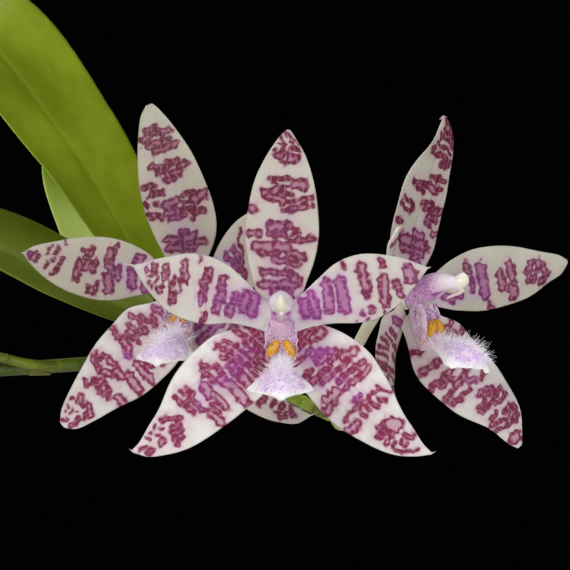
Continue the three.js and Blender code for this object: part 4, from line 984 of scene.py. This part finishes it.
# The flower stem, its side branch and the stalks of the open flowers, in mm
stalks = {
    "rachis": [
        (3.6, -9.6, 104), (16, -21, 109), (36, -21.5, 111.2), (60, -17.5, 109.6), (83.4, -14, 110.5),
        (104, -11.5, 112), (125, -11, 114.2), (138, -13, 110.4), (149, -15, 104.6), (156, -16.5, 101),
        (162, -17.5, 98.2),
    ],
    "branch": [
        (87, -15.2, 111), (81, -18.4, 112.2), (75, -21, 114.4), (64, -28, 121), (53, -38, 133), (46, -46, 147),
    ],
    "pedicels": {
        "a": [(114, -8, 117.5), (120, -4, 123), (127.5, -9, 128)],
        "b": [(148, -11.6, 109), (146.6, -8, 117), (148.4, -20, 124)],
        "c": [(160.4, -17.4, 105), (164, -19.5, 110), (168.3, -23, 116.3), (171.6, -26, 122.4)],
    },
    "radii": (1.9, 1.6), "joints": (0.13, 0.27, 0.405, 0.555, 0.88), "grid": (260, 24),
    "jointSwell": 0.28, "jointLength": 0.006, "freshFrom": 0.7,
    "forkNear": (93, -13, 111), "branchRadii": (1.5, 0.9), "branchJoints": (0.42, 0.6, 0.75, 0.88),
    "branchGrid": (120, 20), "pedicelRadii": (1.275, 1.65), "pedicelStraight": 7, "pedicelEnd": 0.45,
    "pedicelSeat": 1.45, "pedicelGrid": (90, 24), "ridges": 6, "ridgeHeight": 0.035,
}


def stemFinish(name, low, high, mottle):
    f = Finish(name, subsurface=0.12, scatter=0.0015, scatterRadius=(0.8, 1, 0.4))
    grain = f.noise(1500, 3, 0.6)
    base = f.clouded(f.noise(160, 3, 0.55), low, high, (f.step(grain, 0.58, 0.72, 0, 0.5), mottle),
                     (f.attribute("fresh") * 0.85, "a3bf3c"))
    f.set(colour=base, roughness=f.step(grain, 0.3, 0.7, 0.38, 0.55), normal=f.bump(grain, 0.0002, 0.5))
    return f


def nearestOn(route, place):
    at, along = curveAt(route, np.linspace(0, 1, 2001))
    k = np.argmin(np.linalg.norm(at - np.array(place), axis=1))
    return at[k], along[k]


def stalkRadius(start, end, joints=(), ridges=0):
    def radiusAt(t, angle):
        size = start + (end - start) * t
        for joint in joints:
            size = size + stalks["jointSwell"] * np.exp(-((t - joint) / stalks["jointLength"]) ** 2)
        return size * (1 + stalks["ridgeHeight"] * np.cos(angle * ridges)) if ridges else size
    return radiusAt


def ramp(rings, start, sharpness):
    # From 0 to 1 along rings, from a fraction of their length on
    return ease((np.linspace(0, 1, len(rings))[:, None] - start) * sharpness)


rachis, branch = stalks["rachis"], stalks["branch"]
rings = tubeRings(rachis, stalkRadius(*stalks["radii"], stalks["joints"]), *stalks["grid"])
rachisLook, fresh = stemFinish("flower stem", "3f5205", "60730f", "34380a"), ramp(rings, stalks["freshFrom"], 12)
loftPiece("peduncle_stalk", rings, rachisLook, ["peduncle"], {"fresh": fresh})

route = [nearestOn(rachis, stalks["forkNear"])[0], *branch]
rings = tubeRings(route, stalkRadius(*stalks["branchRadii"], stalks["branchJoints"]), *stalks["branchGrid"])
branchLook = stemFinish("side branch", "52630b", "829321", "41440f")
loftPiece("side_branch_stalk", rings, branchLook, ["side_branch"])

pedicelLook = stemFinish("pedicel", "eef1cf", "fafbe6", "d6daae")
for letter, route in stalks["pedicels"].items():
    turn = math.radians(flowers[letter]["turn"])
    forward, centre = np.array((math.sin(turn), -math.cos(turn), 0)), np.array(flowers[letter]["centre"])
    foot, _ = nearestOn(rachis, route[0])
    seat = foot + unit(np.array(route[0]) - foot) * stalks["pedicelSeat"]
    whole = [seat, *route, centre - forward * stalks["pedicelStraight"], centre - forward * stalks["pedicelEnd"]]
    rings = tubeRings(whole, stalkRadius(*stalks["pedicelRadii"], (), stalks["ridges"]), *stalks["pedicelGrid"])
    loftPiece(f"pedicel_{letter}_stalk", rings, pedicelLook, [f"pedicel_{letter}"])

# The scales at the joints of the flower stem, in mm: where each sits and the way it stands out
bracts = {
    "seats": {
        "bract_1": {"place": (83.4, -14, 110.5), "lift": (0, -0.3, -1)},
        "bract_2": {"place": (113.5, -11, 113), "lift": (0, -1, 0.1)},
        "bract_3": {"place": (157.5, -17, 100.5), "lift": (0.3, -1, -0.1)},
    },
    "length": 5.6, "half": (1.4, 1.6, 1.7, 1.6, 1.45, 1.2, 0.8, 0.4, 0.12), "reach": 1.9, "flare": 0.25,
    "grid": (30, 16), "cup": -0.45, "thickness": 0.4,
}
bractLook = stemFinish("bract", "5c641f", "7a7c30", "4a4420")
for name, seat in bracts["seats"].items():
    foot, along = nearestOn(rachis, seat["place"])
    lift = np.array(seat["lift"], float)
    lift = unit(lift - lift.dot(along) * along)
    spine = [foot + along * bracts["length"] * h + lift * (bracts["reach"] + bracts["flare"] * h)
             for h in (0, 0.25, 0.5, 0.75, 1)]
    blade = {**bracts, "spine": spine, "facing": lift, "left": bracts["half"], "right": bracts["half"]}
    loftPiece(f"{name}_scale", bladeRings(blade)[0], bractLook, [name])

# Closed buds: where each sits on its stalk, its direction, and its length and offset in mm, and their
# shape as parts of the length
buds = {
    "seats": {
        "bud_1": {"route": branch, "at": 1, "length": 9, "offset": 0},
        "bud_2": {"route": branch, "at": 0.86, "along": (0.77, -0.56, 0.36), "length": 7, "offset": 0.44},
        "bud_3": {"route": branch, "at": 0.7, "along": (-0.93, 0.35, -0.12), "length": 6, "offset": 0.52},
        "bud_4": {"route": rachis, "at": 1, "length": 7, "offset": 0},
    },
    "foot": 0.12, "swell": 0.22, "tip": 0.14, "tipFrom": 0.96, "seams": 0.05, "grid": (40, 30),
}
budLook = stemFinish("bud", "a9bd6c", "cdd39a", "9a8f6a")
for name, bud in buds["seats"].items():
    at, way = curveAt(bud["route"], np.array([float(bud["at"])]))
    way, length = unit(np.array(bud.get("along", way[0]), float)), bud["length"]

    def budRadius(t, angle, length=length):
        swell = buds["foot"] + buds["swell"] * np.sin(np.pi * t**0.8)
        tip = np.where(t > buds["tipFrom"], (1 - t) / (1 - buds["tipFrom"]) * buds["tip"], swell)
        seams = 1 + buds["seams"] * np.cos(angle * 3) * np.sin(np.pi * t)
        return np.minimum(tip, swell) * length * seams + 0.05

    route = [at[0] + way * bud["offset"] + way * length * h for h in (0, 0.33, 0.66, 1)]
    loftPiece(f"{name}_closed", tubeRings(route, budRadius, *buds["grid"]), budLook, [name])
print("stalks, scales and buds done")

# Leaves, in mm: half width at the widest, the direction across at the base and further on, and the
# spine. near is the outline of the right half where that differs.
leaves = {
    "leaf_1": {
        "half": 26, "acrossBase": (0.1, -0.99, 0), "across": (-0.42, -0.86, -0.3), "look": "bright",
        "spine": [(9.7, 1, 114), (26, 12, 168), (57, 27, 204), (87, 36, 174), (114, 38, 129)],
    },
    "leaf_2": {
        "half": 24, "acrossBase": (-0.05, -0.99, 0), "across": (-0.11, -0.95, -0.29), "look": "deep",
        "spine": [(10.1, -0.5, 97), (32, -1, 136), (62, 1, 144.5), (91, 2, 132.5), (116, 3, 121.5)],
    },
    "leaf_3": {
        "half": 23, "acrossBase": (0.8, -0.6, 0), "across": (-0.4, -0.88, -0.25), "look": "pale",
        "spine": [(6.1, 8.1, 105), (20, 42, 148), (49, 63, 186.5), (84, 63, 179), (90.5, 62, 133)],
        "near": (0.26, 0.38, 0.5, 0.36, 0.28, 0.4, 1.06, 0.54, 0.1),
    },
    "leaf_4": {
        "half": 27, "acrossBase": (0.05, 0.99, 0), "across": (0.05, 0.96, 0.25), "look": "deep",
        "spine": [(-10.1, 0.5, 96), (-36, 3, 132), (-68, 4, 140), (-100, 2, 127), (-123.2, -2, 103.6)],
    },
    "leaf_5": {
        "half": 25, "acrossBase": (-0.37, 0.93, 0), "across": (0.25, 0.95, 0.2), "look": "middle",
        "spine": [(-9.3, -3.7, 106), (-25, -12, 156), (-52, -22, 183), (-84, -30, 172), (-108, -36, 142)],
    },
    "leaf_6": {
        "half": 23, "acrossBase": (0.79, 0.61, 0), "across": (0.8, 0.55, 0.1), "look": "middle",
        "spine": [(-6, 7.9, 110), (-16, 26, 158), (-28, 48, 186), (-42, 74, 190), (-53.4, 94.6, 172.4)],
    },
    "leaf_7": {
        "half": 12, "acrossBase": (-0.1, -0.99, 0), "across": (-0.1, -0.99, 0), "look": "bright",
        "spine": [(0.6, 0.4, 128.6), (2, 1, 142), (5, 1, 156), (10, 0, 169), (18, -2, 180)],
    },
}
leafBuild = {
    "outline": (0.26, 0.38, 0.62, 0.86, 1, 0.98, 0.78, 0.48, 0.14), "cup": 0.16, "thickness": 1.9,
    "grid": (110, 40), "turnedBy": 0.4, "channel": 0.7, "channelWidth": 2.2, "marginWave": 0.8,
    "paintedBacklightGlow": 0.2,
    "colours": {
        "bright": ("788c12", "98aa24", "a8b834"), "middle": ("486616", "6d8a22", "8da436"),
        # The pale colours are painted backlight, which makes leaf_3 look lit through from behind
        "deep": ("5a6a0c", "707e18", "84922a"), "pale": ("b0c94c", "cbe06c", "d8e688"),
    },
}


def leafFinish(name, dark, light, rib):
    f = Finish(f"leaf {name}", subsurface=0.12, scatter=0.002, scatterRadius=(0.6, 1, 0.2), coat=0.04,
               coatRoughness=0.3, specular=0.3)
    v, face, along = f.attribute("v"), f.attribute("face"), f.attribute("fraction")
    patches, grain = f.noise(120, 2), f.noise(1300, 3, 0.6)
    strands = (v * 95 + patches * 3).sine()
    base = f.clouded(
        f.noise(38, 3, 0.55), dark, light, (f.step(strands, 0.2, 1, 0, 0.03), dark),
        (f.step(abs(v), 0.075, 0.01, 0, 0.3), rib), (f.step(abs(v), 0.95, 1, 0, 0.5), rib),
        (f.step(face, 0.4, -0.6, 0, 0.4), rib), (f.step(patches, 0.55, 0.75, 0, 0.35) * f.step(along, 0, 0.3), dark))
    # Most of the pale leaf is painted a darker green; its far end keeps the painted backlight colours and gets a
    # painted highlight, and the whole leaf glows as painted light
    if name == "pale":
        base = f.paint(base, (f.step(along, 0.81, 0.88, 0.9, 0), "6c9408"),
                       (f.step(along, 0.86, 0.92, 0, 0.7), "ecff98"))
        f.set(glow=base, glowStrength=leafBuild["paintedBacklightGlow"])
    f.set(colour=base, roughness=f.step(grain, 0.3, 0.7, 0.34, 0.5),
          normal=f.bump(grain * 0.3 + strands * 0.02, 0.0003, 0.4))
    return f


leafLooks = {key: leafFinish(key, *codes) for key, codes in leafBuild["colours"].items()}
for k, (name, leaf) in enumerate(leaves.items()):
    left, right = ([leaf["half"] * part for part in outline]
                   for outline in (leafBuild["outline"], leaf.get("near", leafBuild["outline"])))

    def leafLift(v, t, across, along, k=k):
        middle = np.exp(-(across / leafBuild["channelWidth"]) ** 2) * ease((1 - t) * 8)
        wave = leafBuild["marginWave"] * np.sin(9 * t + k + 1.5 * v) * np.abs(v) ** 3 * ease(t * 3)
        return wave - leafBuild["channel"] * middle

    blade = {**leafBuild, **leaf, "left": left, "right": right}
    rings, fields = bladeRings(blade, leafLift)
    marks = {key: fields[key] for key in ("v", "face", "fraction")}
    loftPiece(f"{name}_blade", rings, leafLooks[leaf["look"]], [name], marks)
print("leaves done")

# Roots over the bark and the rim, in mm
roots = {
    "routes": {
        "root_1": [
            (-7, -6.4, 94.4), (-22, -20, 94.6), (-34, -31, 99.5), (-41, -38, 107.4), (-47, -44, 107),
            (-50.5, -47.5, 96), (-50, -47.5, 78),
        ],
        "root_2": [
            (7, 6.4, 94.4), (20, 20, 94.8), (32, 31, 99), (40, 38.6, 107.4), (46.5, 44.6, 106.4),
            (50, 47.5, 92), (49, 46.5, 70),
        ],
        "root_3": [(6.4, -7, 94.2), (20, -20, 93.9), (34, -26, 93.8), (44, -20, 93.6)],
        "root_4": [(-6.4, 7, 94.2), (-18, 22, 93.9), (-22, 36, 93.8), (-14, 45, 93.6)],
    },
    "radius": 2.2, "thins": 0.45, "fullness": 0.95, "lumps": 0.025, "fineLumps": 0.015, "tipLength": 0.03,
    "greenFrom": 0.88, "grid": (130, 20), "firstSeed": 30,
}


def rootFinish():
    f = Finish("root")
    cloud, grain, tip = f.noise(260, 4, 0.6), f.noise(1400, 4, 0.65), f.attribute("tip")
    base = f.clouded(cloud, "b9bba6", "d3d3c4", (f.step(grain, 0.55, 0.75, 0, 0.5), "8b8a6c"),
                     (f.step(tip, 0.1, 0.9), "7d9440"))
    f.set(colour=base, roughness=f.step(tip, 0, 1, 0.8, 0.45), normal=f.bump(grain + cloud, 0.0003, 0.7))
    return f


rootLook = rootFinish()
for k, (name, route) in enumerate(roots["routes"].items()):
    def rootRadius(t, angle, seed=roots["firstSeed"] + k):
        lumps = roots["lumps"] * rippled(t * 40, np.cos(angle), seed, 4)
        fineLumps = roots["fineLumps"] * rippled(t * 90, np.sin(angle), seed + 10, 4)
        end = np.sqrt(np.clip((1 - t) / roots["tipLength"], 0.02, 1))
        return (roots["radius"] - roots["thins"] * t) * (roots["fullness"] + lumps + fineLumps) * end

    rings = tubeRings(route, rootRadius, *roots["grid"])
    loftPiece(f"{name}_skin", rings, rootLook, [name], {"tip": ramp(rings, roots["greenFrom"], 10)})


def lathed(outline, sides, wobble=None):
    # Rings of a body of turning: outline runs from the axis below round to the axis above
    points = np.array(outline, float)
    angle = np.linspace(0, 2 * np.pi, sides, endpoint=False)[None, :]
    radius = np.maximum(points[:, :1], 0.01) * np.ones_like(angle)
    height = points[:, 1:2] * np.ones_like(angle)
    if wobble:
        radius = wobble(radius, height, angle)
    return np.stack([radius * np.cos(angle), radius * np.sin(angle), height], -1)


def filled(outline, step):
    # Points along straight runs, close enough together for a smooth finish
    dense = []
    for (r0, z0), (r1, z1) in zip(outline, outline[1:]):
        n = max(1, int(math.hypot(r1 - r0, z1 - z0) / step))
        dense += [(r0 + (r1 - r0) * i / n, z0 + (z1 - z0) * i / n) for i in range(n)]
    return dense + [outline[-1]]


def quarter(r, z, size, start):
    # A rounded corner about its middle, from one direction through a quarter turn
    angles = [math.radians(start + 18 * k) for k in range(6)]
    return [(r + size * math.cos(a), z + size * math.sin(a)) for a in angles]


# The clay pot: radii and heights in mm, the marks of its making, and how fine it is
pot = {
    "height": 104, "foot": 44, "shoulder": 56, "rim": 61, "rimHeight": 22, "wall": 5, "base": 6, "edge": 1.2,
    "rings": 0.1, "dents": 0.12, "dentLength": 14, "step": 2.5, "sides": 144,
}


def clayFinish():
    f = Finish("terracotta")
    grain, salt = f.noise(900, 4, 0.7), f.noise(70, 5, 0.7)
    base = f.clouded(f.noise(28, 4, 0.6), "a9582f", "c47748", (f.step(grain, 0.55, 0.8, 0, 0.4), "8a4424"),
                     (f.step(salt, 0.6, 0.78, 0, 0.5), "d9b79b"))
    turning = f.noise(1.0, 2, 0.5, f.stretched(12, 12, 900))
    f.set(colour=base, roughness=f.step(salt, 0.4, 0.8, 0.78, 0.95),
          normal=f.bump(grain * 0.5 + turning, 0.0004, 0.6))
    return f


def thrown(radius, height, angle):
    # The slight unevenness of a hand-thrown pot
    rings = pot["rings"] * np.sin(height * 1.7)
    dents = pot["dents"] * rippled(height, angle * 8, 3, pot["dentLength"])
    return radius - np.abs(rings + dents) * (radius > 5)


edge, wall, top, rimFoot = pot["edge"], pot["wall"], pot["height"], pot["height"] - pot["rimHeight"]
outline = [(0, 0), *quarter(pot["foot"] - edge, edge, edge, -90), (pot["shoulder"] - 0.4, rimFoot - 1),
           (pot["rim"] - edge, rimFoot), *quarter(pot["rim"] - edge, rimFoot + edge, edge, -60),
           *quarter(pot["rim"] - edge, top - edge, edge, 0), *quarter(pot["rim"] - wall + edge, top - edge, edge, 90),
           (pot["shoulder"] - wall + 2, rimFoot - 4), (pot["foot"] - wall, pot["base"]), (0, pot["base"])]
rings = lathed(filled(outline, pot["step"]), pot["sides"], thrown)
loftPiece("pot_thrown", rings, clayFinish(), ["pot"])

# The short upright stem, wrapped in old leaf bases: its outline, and the heights of the wraps in mm
stem = {
    "outline": [(0, 79), (8, 79), (9, 82), (9, 110), (7.4, 123), (4.9, 127), (0, 128)],
    "wraps": (92, 97, 102, 107, 112, 117, 122), "wrapSlant": 1.6, "wrapDepth": 0.7, "wrapHeight": 4.5,
    "step": 0.5, "sides": 72,
}


def wrapped(radius, height, angle):
    size = radius.copy()
    for k, wrap in enumerate(stem["wraps"]):
        line = wrap + stem["wrapSlant"] * np.sin(angle + k * math.pi)
        fold = ease((height - line) / 0.6) * ease((line + stem["wrapHeight"] - height) / 4)
        size = size - stem["wrapDepth"] * fold * (radius > 3)
    return size


stemLook = stemFinish("short stem", "5c7423", "8a9a45", "6a5a2c")
rings = lathed(filled(stem["outline"], stem["step"]), stem["sides"], wrapped)
loftPiece("stem_wrapped", rings, stemLook, ["stem"])

# Bark chips on the growing medium: half a chip's length in mm, its width and height as parts of that,
# how round, lumpy and tilted it is, and the room in mm that the chips lie in
bark = {
    "chips": 330, "size": (3.2, 6.2), "wide": (0.5, 0.85), "high": (0.18, 0.34), "grid": (7, 9),
    "roundness": 0.72, "lumps": 0.13, "lumpLength": 4, "lean": 0.3,
    "radius": 52.5, "stemRoom": 11.5, "level": (88.6, 91.4), "top": 93.2, "seed": 5,
}


def barkFinish():
    f = Finish("bark", roughness=0.9)
    layers, grain = f.noise(9, 3, 0.6, f.stretched(18, 18, 120)), f.noise(1100, 5, 0.7)
    base = f.clouded(f.noise(75, 4, 0.6), "4b3020", "8a5c3c", (f.step(layers, 0.45, 0.62, 0, 0.6), "2f1d14"),
                     (f.attribute("chip") * 0.5, "a97b52"), (f.step(grain, 0.58, 0.8, 0, 0.5), "c09a74"))
    f.set(colour=base, normal=f.bump(grain + layers, 0.0006, 0.9))
    return f


barkLook = barkFinish()
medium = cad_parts["bark_medium"].data
medium.materials.clear()
medium.materials.append(barkLook.material)
rng, chips = np.random.default_rng(bark["seed"]), []
while len(chips) < bark["chips"]:
    r, a = bark["radius"] * math.sqrt(rng.uniform(0.03, 1)), rng.uniform(0, 2 * math.pi)
    size = rng.uniform(*bark["size"])
    if not bark["stemRoom"] + size * 0.6 < r < bark["radius"] - size * 0.7:
        continue
    seed = int(rng.integers(1, 10000))
    radii = (size, size * rng.uniform(*bark["wide"]), size * rng.uniform(*bark["high"]))
    shape = blob((0, 0, 0), radii, *bark["grid"])
    shape = np.sign(shape) * np.abs(shape / size) ** bark["roundness"] * size
    lumps = 1 + bark["lumps"] * rippled(shape[..., 0], shape[..., 1], seed, bark["lumpLength"])
    shape = shape * lumps[..., None]
    turn, lean = rng.uniform(0, 6.28), rng.normal(0, bark["lean"], 2)
    x = shape[..., 0] * math.cos(turn) - shape[..., 1] * math.sin(turn)
    y = shape[..., 0] * math.sin(turn) + shape[..., 1] * math.cos(turn)
    z = shape[..., 2] + x * lean[0] + y * lean[1] + rng.uniform(*bark["level"])
    place = np.stack([x + r * math.cos(a), y + r * math.sin(a), np.minimum(z, bark["top"])], -1)
    chips.append((place, {"chip": rng.uniform(0, 1)}))
points, faces, marks = joinedLofts(chips)
meshPiece("bark_chips", points, faces, barkLook, (), marks)
print("roots, pot, stem and bark done")

# The camera stands level with the flowers, straight in front of them
view = {"place": (150, -532, 132), "lens": 125.8, "sensor": 36, "nearest": 10}
cameraData = bpy.data.cameras.new("camera")
cameraData.lens = view["lens"]
cameraData.sensor_width = view["sensor"]
cameraData.clip_start = view["nearest"] * mm
camera = bpy.data.objects.new("camera", cameraData)
camera.location = Vector(view["place"]) * mm
camera.rotation_euler = (math.radians(90), 0, 0)
bpy.context.scene.collection.objects.link(camera)
bpy.context.scene.camera = camera

# A round pale table top, and soft lamps in a dark room, in mm and watts
studio = {
    "tableRadius": 360, "tableDepth": 12, "tableEdge": 2, "tableStep": 20, "tableSides": 160, "room": "020202",
    "lamps": {
        "key": {"place": (-520, -760, 560), "aim": (110, -20, 120), "size": 520, "power": 5.2},
        "fill": {"place": (760, -640, 260), "aim": (130, -20, 120), "size": 620, "power": 3.2},
        "low": {"place": (140, -760, -40), "aim": (140, -20, 120), "size": 420, "power": 1.3},
        "back": {"place": (-300, 620, 620), "aim": (40, 20, 130), "size": 500, "power": 3},
        "top": {"place": (120, 60, 900), "aim": (60, 0, 100), "size": 600, "power": 2.4},
    },
}


def tableFinish():
    f = Finish("table", roughness=0.6)
    f.set(colour=f.clouded(f.noise(14, 3), "e4e2dd", "eae8e3"), normal=f.bump(f.noise(420, 3, 0.6), 0.0002, 0.3))
    return f


depth, reach, edge = studio["tableDepth"], studio["tableRadius"], studio["tableEdge"]
outline = [(0, -depth), (reach - edge, -depth), (reach, -depth + edge), (reach, -edge), (reach - edge, 0), (0, 0)]
rings = lathed(filled(outline, studio["tableStep"]), studio["tableSides"])
table = newObject("table", loftPoints(rings), loftFaces(rings), tableFinish(), smooth=False)

for name, lamp in studio["lamps"].items():
    data = bpy.data.lights.new(name, "AREA")
    data.shape = "DISK"
    data.size = lamp["size"] * mm
    data.energy = lamp["power"]
    light = bpy.data.objects.new(name, data)
    light.location = Vector(lamp["place"]) * mm
    aim = Vector(lamp["aim"]) * mm - light.location
    light.rotation_euler = aim.to_track_quat("-Z", "Y").to_euler()
    light.visible_camera = False
    bpy.context.scene.collection.objects.link(light)

world = bpy.data.worlds.new("room")
world.use_nodes = True
world.node_tree.nodes["Background"].inputs["Color"].default_value = tint(studio["room"])
bpy.context.scene.world = world
bpy.context.scene.view_settings.view_transform = "Standard"
print("camera and studio done")
